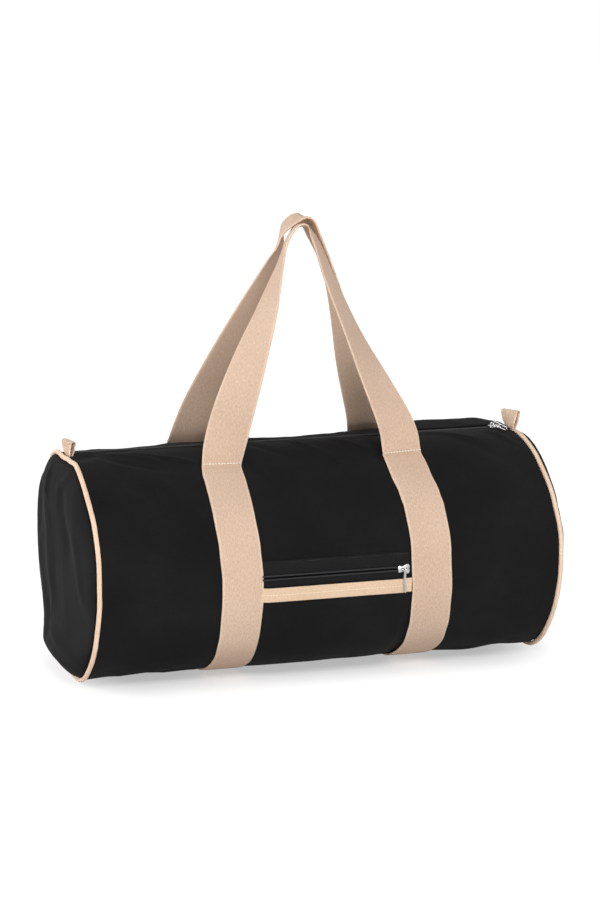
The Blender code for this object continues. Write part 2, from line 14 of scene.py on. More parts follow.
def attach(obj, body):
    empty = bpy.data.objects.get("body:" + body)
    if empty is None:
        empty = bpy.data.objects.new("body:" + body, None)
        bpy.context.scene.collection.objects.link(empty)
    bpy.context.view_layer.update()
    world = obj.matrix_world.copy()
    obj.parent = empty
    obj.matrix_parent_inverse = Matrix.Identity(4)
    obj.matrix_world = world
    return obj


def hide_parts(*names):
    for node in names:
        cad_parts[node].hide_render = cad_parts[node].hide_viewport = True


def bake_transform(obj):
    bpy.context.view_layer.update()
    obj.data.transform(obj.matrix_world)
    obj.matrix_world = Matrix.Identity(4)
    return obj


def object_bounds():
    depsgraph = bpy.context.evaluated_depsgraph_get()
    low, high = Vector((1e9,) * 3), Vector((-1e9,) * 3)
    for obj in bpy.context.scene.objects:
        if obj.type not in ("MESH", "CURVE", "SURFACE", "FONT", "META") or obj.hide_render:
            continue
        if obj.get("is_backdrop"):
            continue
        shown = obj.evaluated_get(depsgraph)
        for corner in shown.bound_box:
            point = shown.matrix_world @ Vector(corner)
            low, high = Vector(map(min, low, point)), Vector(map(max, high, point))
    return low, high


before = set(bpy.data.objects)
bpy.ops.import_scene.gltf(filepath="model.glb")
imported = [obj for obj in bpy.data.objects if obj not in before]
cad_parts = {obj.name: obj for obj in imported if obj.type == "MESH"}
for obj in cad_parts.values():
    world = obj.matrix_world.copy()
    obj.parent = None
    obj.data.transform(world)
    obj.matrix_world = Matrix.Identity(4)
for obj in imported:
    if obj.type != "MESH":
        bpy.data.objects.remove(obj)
solid_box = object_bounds()

# %% [markdown]
# ## Sizes
# The sizes are the ones that the solid pieces were made with, in metres. The origin is on the floor
# under the middle of the bag, X runs along it and the pocket faces -Y.

# %% Sizes of the bag
BODY_LENGTH = 0.456
BODY_DEPTH = 0.248
BODY_HEIGHT = 0.2125
TOP_FLAT_HALF_WIDTH = 0.0172
BASE_FLAT_HALF_WIDTH = 0.038
UPPER_FULLNESS_SHARE = 1.73
LOWER_FULLNESS_SHARE = 1.65
BASE_Z = 0.0028
TOP_Z = BASE_Z + BODY_HEIGHT
SIDE_LOW_Z = 0.0971
SIDE_HIGH_Z = 0.12695
SEAM_X = BODY_LENGTH / 2
WEBBING_WIDTH = 0.040
WEBBING_THICKNESS = 0.0025
FIT = 0.0003
STRAP_X = 0.093
STRAP_END_DROP = 0.0083
PIPING_RADIUS = 0.00225
print("barrel", BODY_LENGTH, "by", BODY_DEPTH, "by", BODY_HEIGHT)


# %% [markdown]
# ## Writing materials as sums
# A material is a net of nodes, but a pattern is easier to read as a sum. The small class below wraps
# one socket, so that adding or multiplying two of them adds the Math node that does it.

# %% Sums of sockets
class Amount:
    def __init__(self, recipe, socket):
        self.recipe = recipe
        self.socket = socket

    def sum_with(self, operation, *others, first=None):
        values = [self if first is None else first, *others]
        return self.recipe.node("ShaderNodeMath", {"operation": operation}, values)

    def __add__(self, other):
        return self.sum_with("ADD", other)

    __radd__ = __add__

    def __sub__(self, other):
        return self.sum_with("SUBTRACT", other)

    def __rsub__(self, other):
        return self.sum_with("SUBTRACT", self, first=other)

    def __mul__(self, other):
        return self.sum_with("MULTIPLY", other)

    __rmul__ = __mul__

    def __abs__(self):
        return self.sum_with("ABSOLUTE")

    def wave(self):
        return self.sum_with("SINE")

    def over(self, low, high):
        """0 below low, 1 above high, and smooth between them."""
        return self.recipe.node(
            "ShaderNodeMapRange", {"interpolation_type": "SMOOTHSTEP"}, [self, low, high, 0.0, 1.0]
        )


class Recipe:
    """One material and its shader, with the sockets that vary over the surface."""

    def __init__(self, name, roughness=0.8, metallic=0.0, **fixed):
        self.material = bpy.data.materials.new(name)
        self.material.use_nodes = True
        self.tree = self.material.node_tree
        self.shader = self.tree.nodes["Principled BSDF"]
        self.shader.inputs["Roughness"].default_value = roughness
        self.shader.inputs["Metallic"].default_value = metallic
        for socket, value in fixed.items():
            self.shader.inputs[socket.replace("_", " ")].default_value = value

    @classmethod
    def on(cls, tree):
        """The same way of writing for a net that isn't a material's."""
        recipe = cls.__new__(cls)
        recipe.tree = tree
        return recipe

    def node(self, kind, settings, values, output=0):
        made = self.tree.nodes.new(kind)
        for name, value in settings.items():
            setattr(made, name, value)
        pairs = values.items() if isinstance(values, dict) else enumerate(values)
        for key, value in pairs:
            self.feed(made.inputs[key], value)
        return Amount(self, made.outputs[output]) if made.outputs else None

    def feed(self, socket, value):
        if isinstance(value, Amount):
            self.tree.links.new(value.socket, socket)
        elif value is not None:
            socket.default_value = value

    def set(self, socket, value):
        self.feed(self.shader.inputs[socket], value)

    def cut(self):
        """Metres along and across the flat cut of the cloth."""
        both = self.node("ShaderNodeUVMap", {"uv_map": "cut"}, [])
        return tuple(self.node("ShaderNodeSeparateXYZ", {}, [both], axis) for axis in "XY")

    def place(self):
        return self.node("ShaderNodeTexCoord", {}, [], "Object")

    def cloud(self, vector, scale, detail=2.0, roughness=0.5):
        values = {"Vector": vector, "Scale": scale, "Detail": detail, "Roughness": roughness}
        return self.node("ShaderNodeTexNoise", {}, values, "Fac")

    def slub(self, along, across, detail=2.0):
        """Thin clouds of thicker and thinner thread on the cut."""
        return self.cloud(self.node("ShaderNodeCombineXYZ", {}, [along, across, 0.0]), 1.0, detail)

    def blend(self, share, first, second):
        """A colour between two others."""
        values = {0: share, 6: first, 7: second}
        return self.node("ShaderNodeMix", {"data_type": "RGBA"}, values, 2)

    def emboss(self, height, strength, distance):
        values = {"Strength": strength, "Distance": distance, "Height": height}
        self.set("Normal", self.node("ShaderNodeBump", {}, values))


def colour(red, green, blue):
    """A colour as a paint chart writes it, from 0 to 255, made linear for the shader."""
    def linear(part):
        part /= 255
        return part / 12.92 if part <= 0.04045 else ((part + 0.055) / 1.055) ** 2.4
    return (linear(red), linear(green), linear(blue), 1.0)


def waves(pitch):
    """Radians per metre for a wave of a pitch."""
    return 2 * math.pi / pitch


print("a webbing colour in linear light:", [round(part, 3) for part in colour(222, 195, 168)])

# %% [markdown]
# ## Canvas
# Cotton canvas is a plain weave: every thread goes over one and under the next. Two crossed waves
# give the bumps, long thin clouds give the thicker threads, and a wide cloud gives the faint bloom
# that black cotton gets where it is handled.

# %% Canvas
CANVAS_PITCH = 0.0011
# Clouds per metre, along a thick thread and across it
SLUB_LONG = 60.0
SLUB_FINE = 900.0
BLOOM_SCALE = 9.0
# Taken off the bloom, so that most of the cloth stays black
BLOOM_FLOOR = 0.28


def canvas(name, dark, pale):
    cloth = Recipe(name, Specular_IOR_Level=0.08)
    along, across = cloth.cut()
    weave = (along * waves(CANVAS_PITCH)).wave() * (across * waves(CANVAS_PITCH)).wave()
    slub_along = cloth.slub(along * SLUB_LONG, across * SLUB_FINE, 1.0)
    slub_across = cloth.slub(along * SLUB_FINE, across * SLUB_LONG, 1.0)
    bloom = cloth.cloud(cloth.place(), BLOOM_SCALE, 4.0, 0.6)
    height = weave * 0.35 + slub_along * 0.15 + slub_across * 0.15
    share = (slub_along + slub_across - 1.0) * 0.15 + (bloom - BLOOM_FLOOR) + weave * 0.08
    cloth.set("Base Color", cloth.blend(share.over(0.0, 0.7), dark, pale))
    cloth.set("Roughness", 0.80 + bloom * 0.14)
    cloth.emboss(height, 0.30, 0.0003)
    return cloth.material


BLACK_CANVAS = canvas("black_canvas", colour(18, 18, 18), colour(33, 32, 33))
print(BLACK_CANVAS.name, "has", len(BLACK_CANVAS.node_tree.nodes), "nodes")

# %% [markdown]
# ## Webbing
# Heavy cotton webbing shows small pebbles in slanting rows, because each warp end floats over two
# wefts. Its two edges are woven tighter and stay smooth and paler. The cut's second number is the
# distance from the middle of the band, so the edge is found with it.

# %% Webbing
WEBBING_PITCH = 0.0015
# Where the selvedge begins and is full, in from the edge of the webbing
SELVEDGE_START = 0.0022
SELVEDGE_FULL = 0.0012
LOOP_WIDTH = 0.020


def webbing(name, width, shade, tint):
    band = Recipe(name, roughness=0.88, Sheen_Weight=0.10, Sheen_Roughness=0.5)
    along, across = band.cut()
    turn = waves(WEBBING_PITCH)
    slant = (along * turn + across * turn * 0.5).wave()
    rib = (across * turn * 1.15 - along * turn * 0.3).wave()
    edge = abs(across).over(width / 2 - SELVEDGE_START, width / 2 - SELVEDGE_FULL)
    pebble = slant * rib * (1.0 - edge)
    selvedge = (along * turn * 1.3).wave() * edge
    slub = band.slub(along * 350.0, across * 900.0)
    soil = band.cloud(band.place(), 14.0, 3.0, 0.6)
    share = 0.45 + pebble * 0.42 + selvedge * 0.20 + edge * 0.25
    share = share + (slub - 0.5) * 1.7 + (soil - 0.5) * 0.6
    band.set("Base Color", band.blend(share.over(0.0, 1.0), shade, tint))
    band.emboss(pebble * 0.7 + selvedge * 0.4 + slub, 0.7, 0.0007)
    return band.material


WEBBING_SHADE = colour(212, 178, 151)
WEBBING_TINT = colour(240, 211, 187)
NATURAL_WEBBING = webbing("natural_webbing", WEBBING_WIDTH, WEBBING_SHADE, WEBBING_TINT)
LOOP_WEBBING = webbing("loop_webbing", LOOP_WIDTH, WEBBING_SHADE, WEBBING_TINT)
print("webbing has a pebble every", WEBBING_PITCH * 1000, "mm")

# %% [markdown]
# ## Piping, trim and thread
# The piping is a strip cut on the slant from a finer cloth, so its weave runs at 45 degrees. The trim
# over the pocket is a woven ribbon of the same cotton. Thread is twisted, and the twist shows as a
# slanting line on every stitch.

# %% Piping, trim and thread
FINE_PITCH = 0.0009


def fine_cotton(name, shade, tint, slant):
    cloth = Recipe(name, roughness=0.84, Sheen_Weight=0.10, Sheen_Roughness=0.5)
    along, across = cloth.cut()
    turn = waves(FINE_PITCH)
    warp = (along * turn + across * (turn * slant)).wave()
    weft = (across * turn - along * (turn * slant)).wave()
    slub = cloth.slub(along * 500.0, across * 500.0)
    soil = cloth.cloud(cloth.place(), 25.0)
    share = 0.5 + warp * weft * 0.15 + (slub - 0.5) * 0.7 + (soil - 0.5) * 0.6
    cloth.set("Base Color", cloth.blend(share.over(0.0, 1.0), shade, tint))
    cloth.emboss(warp * weft * 0.5 + slub * 0.6, 0.4, 0.0003)
    return cloth.material


def thread(name, shade, tint):
    twist = Recipe(name, roughness=0.6, Sheen_Weight=0.2, Sheen_Roughness=0.4)
    values = {"Vector": twist.place(), "Scale": 900.0}
    strands = twist.node("ShaderNodeTexWave", {"bands_direction": "DIAGONAL"}, values, "Fac")
    twist.set("Base Color", twist.blend(strands, shade, tint))
    twist.emboss(strands, 0.4, 0.0002)
    return twist.material


PIPING_COTTON = fine_cotton("piping_cotton", colour(222, 187, 157), colour(243, 215, 190), 1.0)
TRIM_RIBBON = fine_cotton("trim_ribbon", colour(203, 172, 142), colour(228, 201, 173), 0.0)
BINDING_TAPE = fine_cotton("binding_tape", colour(26, 25, 26), colour(40, 39, 40), 0.0)
CREAM_THREAD = thread("cream_thread", colour(244, 230, 212), colour(255, 250, 240))
BLACK_THREAD = thread("black_thread", colour(24, 24, 25), colour(52, 51, 52))
print("cotton finishes:", PIPING_COTTON.name, TRIM_RIBBON.name, BINDING_TAPE.name)

# %% [markdown]
# ## Zip tape, coil and nickel
# Zip tape is a dense ribbed ribbon. The coil is drawn nylon, smoother and glossier than any cloth
# here. The sliders and their rings are nickel plated, so they are mostly reflection, with a little
# dulling where fingers have been.

# %% Zip tape, coil and nickel
# Radians per metre of the ribs in the tape
TAPE_RIB_TURN = 5200.0


def zip_tape(name):
    tape = Recipe(name, roughness=0.85, Specular_IOR_Level=0.08)
    along, across = tape.cut()
    chevron = (along * TAPE_RIB_TURN + abs(across) * TAPE_RIB_TURN).wave()
    fluff = tape.slub(along * 400.0, across * 900.0)
    share = chevron * 0.25 + fluff * 0.9
    tape.set("Base Color", tape.blend(share.over(0.0, 1.0), colour(21, 21, 21), colour(37, 36, 37)))
    tape.emboss(chevron * 0.4 + fluff * 0.4, 0.4, 0.0003)
    return tape.material


def nylon(name):
    coil = Recipe(name, Specular_IOR_Level=0.3)
    haze = coil.cloud(coil.place(), 220.0)
    coil.set("Base Color", coil.blend(haze, colour(20, 20, 22), colour(38, 38, 41)))
    coil.set("Roughness", 0.40 + haze * 0.2)
    return coil.material


def nickel(name):
    metal = Recipe(name, metallic=1.0)
    smear = metal.cloud(metal.place(), 160.0, 3.0, 0.6)
    scratch = metal.cloud(metal.place(), 1500.0, 1.0)
    metal.set("Base Color", metal.blend(smear, colour(164, 164, 166), colour(204, 204, 205)))
    metal.set("Roughness", 0.14 + smear * 0.16)
    metal.emboss(smear * 0.6 + scratch * 0.3, 0.15, 0.0002)
    return metal.material


ZIP_TAPE = zip_tape("zip_tape")
ZIP_NYLON = nylon("zip_nylon")
NICKEL = nickel("bright_nickel")
print("zip finishes:", ZIP_TAPE.name, ZIP_NYLON.name, NICKEL.name)


# %% [markdown]
# ## The section of the barrel
# A stuffed canvas barrel isn't round. Its top is drawn flat by the zip, its sides stand almost
# upright and its base is flat on the floor. The outline is two rounded quarters joined by straight
# runs, smoothed where they meet, and every place on the bag is then one number: the distance round
# the outline from the middle of the mouth, down the front first.

# %% The section of the barrel
ARC_STEPS = 60
SMOOTH_PASSES = 60
OUTLINE_POINTS = 480
SHORTEST_LEG = 1e-9
HALVINGS = 30


def rounded_quarter(centre, across, up, fullness, from_top):
    points = []
    for step in range(ARC_STEPS + 1):
        turn = math.pi / 2 * step / ARC_STEPS
        wide, tall = (math.sin(turn), math.cos(turn)) if from_top else (math.cos(turn), math.sin(turn))
        wide, tall = abs(wide) ** (2 / fullness), abs(tall) ** (2 / fullness)
        points.append((centre[0] - across * wide, centre[1] + up * tall))
    return points


def resampled(points, count):
    """The same closed outline with its points evenly spaced."""
    closed = points + points[:1]
    travelled = [0.0]
    for near, far in zip(closed, closed[1:]):
        travelled.append(travelled[-1] + math.dist(near, far))
    even, leg = [], 0
    for step in range(count):
        goal = travelled[-1] * step / count
        while travelled[leg + 1] < goal:
            leg += 1
        share = (goal - travelled[leg]) / max(travelled[leg + 1] - travelled[leg], SHORTEST_LEG)
        even.append(tuple(a + (b - a) * share for a, b in zip(closed[leg], closed[leg + 1])))
    return even


def smoothed(triples):
    """Each point drawn in between its neighbours, and itself counted twice."""
    return [tuple((a + 2 * b + c) / 4 for a, b, c in zip(*triple)) for triple in triples]


def barrel_outline():
    half = BODY_DEPTH / 2
    front = [(0.0, TOP_Z)] + rounded_quarter(
        (-TOP_FLAT_HALF_WIDTH, SIDE_HIGH_Z), half - TOP_FLAT_HALF_WIDTH, TOP_Z - SIDE_HIGH_Z,
        UPPER_FULLNESS_SHARE, True,
    )
    front += rounded_quarter(
        (-BASE_FLAT_HALF_WIDTH, SIDE_LOW_Z), half - BASE_FLAT_HALF_WIDTH, BASE_Z - SIDE_LOW_Z,
        LOWER_FULLNESS_SHARE, False,
    )
    front.append((0.0, BASE_Z))
    outline = resampled(front + [(-y, z) for y, z in reversed(front[1:-1])], OUTLINE_POINTS)
    for _ in range(SMOOTH_PASSES):
        outline = smoothed(zip(outline[-1:] + outline[:-1], outline, outline[1:] + outline[:1]))
    return resampled(outline, OUTLINE_POINTS)


OUTLINE = barrel_outline()
GIRTH = sum(math.dist(OUTLINE[i - 1], OUTLINE[i]) for i in range(OUTLINE_POINTS))


def on_section(round_it):
    """Place and outward direction (y, z, out y, out z) at a distance round the outline."""
    place = round_it / GIRTH * OUTLINE_POINTS
    index = math.floor(place)
    share = place - index

    def corner(i):
        before, here, after = (OUTLINE[near % OUTLINE_POINTS] for near in (i - 1, i, i + 1))
        along = (after[0] - before[0], after[1] - before[1])
        size = math.hypot(*along)
        return here[0], here[1], along[1] / size, -along[0] / size

    near, far = corner(index), corner(index + 1)
    return tuple(a + (b - a) * share for a, b in zip(near, far))


def round_at_height(z):
    """How far round the outline the front reaches a height."""
    low, high = 0.0, GIRTH / 2
    for _ in range(HALVINGS):
        middle = (low + high) / 2
        if on_section(middle)[1] > z:
            low = middle
        else:
            high = middle
    return low


print("girth of the barrel:", round(GIRTH, 4), "m, and its side is at", round(on_section(GIRTH / 4)[0], 4))

# %% [markdown]
# ## How the stuffed barrel settles
# A soft bag isn't an even barrel. The end seams are pulled about by their stitching, the top sinks
# where nothing holds it up, and the lower front is drawn in. Short tables say how far, by the share
# of the way round or by the place along the bag, and smooth steps join their rows. Every piece that
# lies on the bag reads the same tables, so that nothing comes apart. The pocket's zip is kept on its
# straight line, because its slider runs there.

# %% Settling
MILLI = 0.001
# Rows for an end seam: share of the way round, then how far it moves along the bag and outwards, in mm
LEFT_SEAM = (
    (0.00, -3.0, -3.8), (0.03, -2.4, -2.6), (0.055, -0.8, -0.6), (0.11, -1.4, -0.4), (0.17, -0.6, 0.0),
    (0.23, -0.6, 0.0), (0.32, -0.8, -0.4), (0.42, -0.6, -0.4), (0.50, 0.0, -0.2), (0.60, 2.0, -1.0),
    (0.75, 3.0, -3.5), (0.88, 2.0, -3.0), (0.95, -1.5, -2.5), (1.00, -3.0, -3.8),
)
RIGHT_SEAM = (
    (0.00, -3.6, -4.6), (0.05, -5.6, -3.4), (0.11, -5.4, -1.2), (0.17, -3.6, -0.2), (0.23, -0.8, 0.0),
    (0.30, -1.4, -0.1), (0.37, -1.6, -0.4), (0.43, -0.8, -0.8), (0.50, -0.6, -0.6), (0.62, -2.0, -1.0),
    (0.75, -5.0, -2.0), (0.90, -5.0, -3.0), (1.00, -3.6, -4.6),
)
# Rows along the bag: place in mm, then how far the cloth moves outwards, in mm
BACK_SHOULDER = (
    (-228, -1.0), (-200, -3.5), (-168, -7.0), (-145, -5.5), (-108, -1.0), (-70, -1.5), (-30, -3.5),
    (10, -5.4), (40, -3.2), (90, 1.4), (140, 5.2), (180, 6.0), (200, 7.0), (228, 3.2),
)
LOWER_FRONT = (
    (-228, -0.5), (-200, -2.2), (-120, -2.2), (-80, -3.6), (0, -4.2), (60, -4.4), (125, -2.0),
    (165, -0.4), (195, -2.2), (228, -2.0),
)
FRONT_SHOULDER = ((-228, 0.0), (-150, -1.8), (-60, -1.4), (0, -2.4), (60, -1.2), (150, 2.0), (228, 0.0))
# Each table with the middle and the reach, round the bag, of the place that it moves
SETTLED_PLACES = (
    (BACK_SHOULDER, GIRTH - 0.040, 0.026), (FRONT_SHOULDER, 0.052, 0.028),
    (LOWER_FRONT, GIRTH / 2 - 0.062, 0.040),
)
# The pull of an end seam reaches this far along the bag, for its wander and for its rise and fall
WANDER_REACH = 0.060
RISE_REACH = 0.050
MOUTH_REACH = 0.020
STRAP_REACH = 0.030
BASE_REACH = 0.10
BELLY = 0.0014
# The belly is gone, and a little more, under a strap
BELLY_UNDER_STRAP = 1.1


def eased(rows, place, column=1):
    """The value at a place in a table, with smooth steps between its rows."""
    if place <= rows[0][0]:
        return rows[0][column]
    for near, far in zip(rows, rows[1:]):
        if place <= far[0]:
            share = (place - near[0]) / (far[0] - near[0])
            share *= share * (3 - 2 * share)
            return near[column] + (far[column] - near[column]) * share
    return rows[-1][column]


def bump(value, middle, reach):
    return math.exp(-((value - middle) / reach) ** 2)


def kept(value):
    """The value held between 0 and 1."""
    return min(1.0, max(0.0, value))


def between(value, low, high, edge):
    """1 from low to high, and 0 further than an edge outside them."""
    inside = kept(min(value - low, high - value) / edge + 1.0)
    return inside * inside * (3 - 2 * inside)


def mouth_distance(round_it):
    return min(round_it, GIRTH - round_it)


FLAT_HALF_LENGTH = 0.080
FLAT_FADE_ALONG = 0.014
FLAT_FADE_ROUND = 0.022
FLAT_TOP = round_at_height(0.1285)
FLAT_FOOT = round_at_height(0.0860)


def held_flat(x, round_it):
    """1 around the pocket's zip, where the bag keeps its even section."""
    along = between(x, -FLAT_HALF_LENGTH, FLAT_HALF_LENGTH, FLAT_FADE_ALONG)
    return along * between(round_it, FLAT_TOP, FLAT_FOOT, FLAT_FADE_ROUND)


def seam_row(x, round_it):
    rows = LEFT_SEAM if x < 0 else RIGHT_SEAM
    share = round_it / GIRTH % 1.0
    return eased(rows, share, 1) * MILLI, eased(rows, share, 2) * MILLI


# How far from an end seam the zip starts to dip towards it, past the last place of the slider
LEFT_DIP = 0.0110
RIGHT_DIP = 0.0165


def end_dip(x):
    """1 at an end seam, falling to 0 before the last place of the slider."""
    return between(max(0.0, SEAM_X - abs(x)), -SEAM_X, 0.0, LEFT_DIP if x < 0 else RIGHT_DIP)


def settled(x, round_it):
    """How far a place on the bag moves along it and outwards."""
    along, out = seam_row(x, round_it)
    from_seam = max(0.0, SEAM_X - abs(x))
    mouth = bump(mouth_distance(round_it), 0.0, MOUTH_REACH)
    along *= bump(from_seam, 0.0, WANDER_REACH)
    out *= (1.0 - mouth) * bump(from_seam, 0.0, RISE_REACH) + mouth * end_dip(x)
    held = math.sin(kept(from_seam / RISE_REACH) * math.pi / 2)
    strap = max(bump(x, STRAP_X, STRAP_REACH), bump(x, -STRAP_X, STRAP_REACH))
    calm = bump(round_it, 0.0, MOUTH_REACH) + bump(round_it, GIRTH, MOUTH_REACH)
    calm += bump(round_it, GIRTH / 2, BASE_REACH)
    rise = BELLY * held * (1.0 - BELLY_UNDER_STRAP * strap) * (1.0 - calm)
    for rows, middle, reach in SETTLED_PLACES:
        rise += eased(rows, x / MILLI) * MILLI * bump(round_it, middle, reach)
    return along, out + rise * (1.0 - held_flat(x, round_it))


def swell(x, round_it):
    return settled(x, round_it)[1]


print("the swell half way to the floor is", round(swell(0.0, GIRTH / 4) / MILLI, 2), "mm")

# %% [markdown]
# ## Folds in the canvas
# The canvas alone is creased. Smooth random numbers, the same on every run, give its slow swells, its
# drag lines and the puckers along the seams, and a short table places the long creases that the
# weight of the bag pulls in it. Everything is calm on the floor, at the mouth and round the pocket's
# zip, and the canvas sinks a little under the straps and the pocket, so that they lie over it.

# %% Folds in the canvas
PATCH_TOP = round_at_height(0.1060)
PATCH_FOOT = GIRTH / 2 - BASE_FLAT_HALF_WIDTH
PATCH_HIDDEN_HALF = 0.074
PATCH_FADE = 0.010
# The canvas lies this much deeper under a strap and under the pocket's patch
COVERED_DEPTH = 0.0006
STRAP_FADE = 0.006
# Heights of the folds: slow swells, drag lines, sharp creases and puckers, all soft
SLOW_FOLD = 0.0012
DRAG_LINE = 0.0005
SHARP_CREASE = 0.0006
SEAM_PUCKER = 0.0008
MOUTH_GATHER = 0.0005
# How far from the end seams, the mouth and the straps their puckers reach
PUCKER_REACH = 0.012
STRAP_PUCKER_REACH = 0.010
# Rows for a long crease: its two ends along and round the bag, its half width and its height, in mm
CREASES = (
    (-184, 68, -110, 158, 10, -1.9), (-170, 62, -104, 140, 8, 0.8), (-222, 92, -200, 132, 7, -1.0),
    (-190, 18, -146, 44, 3, 0.9), (-184, 16, -108, 52, 3, 1.0), (-196, 34, -150, 58, 5, -0.8),
    (-66, 34, -58, 78, 8, -1.4), (-12, 12, 26, 70, 3, 1.0), (-50, 14, -30, 44, 4, -0.7),
    (30, 14, 56, 46, 4, 0.7), (72, 24, 64, 66, 8, -1.2), (-34, 104, -24, 168, 8, -0.9),
    (22, 130, 18, 170, 7, -0.7), (118, 12, 176, 44, 4, 0.9), (190, 14, 220, 58, 4, 0.9),
    (150, 40, 216, 92, 9, -0.9), (-213, 14, -209, 24, 8, -0.7), (-180, 330, -130, 300, 10, -0.9),
    (140, 300, 205, 328, 10, -0.9),
)
CREASE_DEPTH = 2.3
# A crease is whole between these shares of its length, and fades over a further share past each
CREASE_WHOLE = (0.25, 0.75)
CREASE_FADE = 0.45


def wobble(a, b, c):
    """A smooth random number from -1 to 1. A place comes divided by the size of the ripple, in metres,
    and a plain number keeps one ripple apart from the others."""
    return noise.noise(Vector((a, b, c)))


def crease_rise(a, b, rows):
    """How far long creases move a place, each a soft ridge or furrow between its two ends."""
    rise = 0.0
    for a1, b1, a2, b2, width, height in rows:
        span_a, span_b = a2 - a1, b2 - b1
        share = ((a - a1) * span_a + (b - b1) * span_b) / (span_a ** 2 + span_b ** 2)
        if -0.5 < share < 1.5:
            off = math.hypot(a - a1 - span_a * share, b - b1 - span_b * share)
            rise += height * bump(off, 0.0, width) * between(share, *CREASE_WHOLE, CREASE_FADE)
    return rise * CREASE_DEPTH * MILLI


def folds(x, round_it):
    """The canvas alone: soft folds and puckers."""
    from_seam = SEAM_X - abs(x)
    from_mouth = mouth_distance(round_it)
    from_strap = abs(abs(x) - STRAP_X) - WEBBING_WIDTH / 2
    side = 1.0 if x > 0 else -1.0
    slow = wobble(x / 0.07, round_it / 0.085, 3.1)
    drag = wobble(x / 0.022 + round_it / 0.10, round_it / 0.13 - x / 0.05, 7.7)
    crease = 1.0 - abs(wobble(x / 0.05 - round_it / 0.07, round_it / 0.06, 12.4)) * 2
    pucker = wobble(side * 9.0, round_it / 0.010, from_seam / 0.03)
    gather = wobble(x / 0.012, from_mouth / 0.05, 21.0)
    rise = SLOW_FOLD * slow + DRAG_LINE * drag + SHARP_CREASE * max(0.0, crease) ** 3
    rise += SEAM_PUCKER * pucker * math.exp(-from_seam / PUCKER_REACH)
    rise += MOUTH_GATHER * gather * math.exp(-from_mouth / PUCKER_REACH)
    rise += DRAG_LINE * drag * math.exp(-abs(from_strap) / STRAP_PUCKER_REACH)
    rise += crease_rise(x / MILLI, round_it / MILLI, CREASES)
    free = kept(from_strap / STRAP_FADE)
    calm = min(1.0, from_mouth / PUCKER_REACH)
    floor = 1.0 - 0.8 * bump(round_it, GIRTH / 2, BASE_REACH / 2)
    under_patch = between(x, -PATCH_HIDDEN_HALF, PATCH_HIDDEN_HALF, PATCH_FADE)
    under_patch *= between(round_it, PATCH_TOP, PATCH_FOOT, PATCH_FADE)
    quiet = 1.0 - max(under_patch, held_flat(x, round_it))
    return rise * free * calm * floor * quiet - COVERED_DEPTH * max(1.0 - free, under_patch)


def on_bag(x, round_it, lift=0.0, canvas_too=False):
    """The point of the bag's surface, lifted off it, at a place along and round it."""
    y, z, out_y, out_z = on_section(round_it)
    along, out = settled(x, round_it)
    rise = lift + out + (folds(x, round_it) if canvas_too else 0.0)
    return Vector((x + along, y + out_y * rise, z + out_z * rise))


print("the folds move the canvas there by", round(folds(0.0, GIRTH / 4) / MILLI, 2), "mm")

# %% [markdown]
# ## From a flat cut to a piece
# Every cloth piece starts as a flat grid. Its place on the cutting table is kept in a map named cut,
# in metres, for the weave, and then each point is carried to the bag. A band is the same grid rolled
# round its own width and closed, so that it has a real thickness and round edges.

# %% Cutting and carrying
def flat_cut(columns, rows):
    """A flat grid one unit wide and tall."""
    mesh = bmesh.new()
    bmesh.ops.create_grid(mesh, x_segments=columns, y_segments=rows, size=0.5)
    return mesh


def carry(mesh, measure, place):
    """Write each corner's place on the cut, then move every point to its place on the bag."""
    layer = mesh.loops.layers.uv.new("cut")
    for face in mesh.faces:
        for corner in face.loops:
            corner[layer].uv = measure(corner.vert.co.x + 0.5, corner.vert.co.y + 0.5)
    for vert in mesh.verts:
        vert.co = place(vert.co.x + 0.5, vert.co.y + 0.5)


def made(name, mesh, finish, body, *nodes, slot=None, smooth=60.0, outward=True):
    """A finished piece: its object, its finish, what it rides on and what it stands for."""
    if outward:
        bmesh.ops.recalc_face_normals(mesh, faces=mesh.faces)
    data = bpy.data.meshes.new(name)
    mesh.to_mesh(data)
    mesh.free()
    data.materials.append(finish)
    data.shade_smooth()
    data.set_sharp_from_angle(angle=math.radians(smooth))
    piece = bpy.data.objects.new(name, data)
    bpy.context.scene.collection.objects.link(piece)
    if body:
        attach(piece, body)
    if nodes:
        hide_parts(*nodes)
    return piece


def walled(piece, thickness):
    wall = piece.modifiers.new("wall", "SOLIDIFY")
    wall.thickness = thickness
    wall.offset = -1.0
    return piece


MERGE_DISTANCE = 1e-6


def close_tube(mesh, ends=True):
    bmesh.ops.remove_doubles(mesh, verts=mesh.verts, dist=MERGE_DISTANCE)
    if ends:
        bmesh.ops.holes_fill(mesh, edges=mesh.edges, sides=0)


BAND_POINTS = 24
# The lower the power, the squarer the band's section, across it and through it
ACROSS_POWER = 0.25
THROUGH_POWER = 0.6


def squared(value, power):
    return math.copysign(abs(value) ** power, value)


def band(name, finish, body, nodes, slot, rows, length, width, thickness, along_path):
    """A band of cloth. along_path gives (middle, across, out, width share) at a share of its length."""
    mesh = flat_cut(BAND_POINTS, rows)

    def around(share):
        turn = 2 * math.pi * share
        return squared(math.cos(turn), ACROSS_POWER) / 2, squared(math.sin(turn), THROUGH_POWER) / 2

    def measure(u, v):
        return v * length, around(u)[0] * width

    def place(u, v):
        middle, across, out, share = along_path(v)
        wide, thick = around(u)
        return middle + across * (wide * width * share) + out * (thick * thickness)

    carry(mesh, measure, place)
    close_tube(mesh)
    return made(name, mesh, finish, body, *nodes, slot=slot)


print("a band has", BAND_POINTS, "points round it")

# %% [markdown]
# ## The body panel
# One length of canvas wraps the barrel. At the mouth its edge is folded under, and at the ends it
# turns in to the seam behind the piping. The flat grid gets extra lines where these folds come, so
# that they are round, and a thin wall is added last.

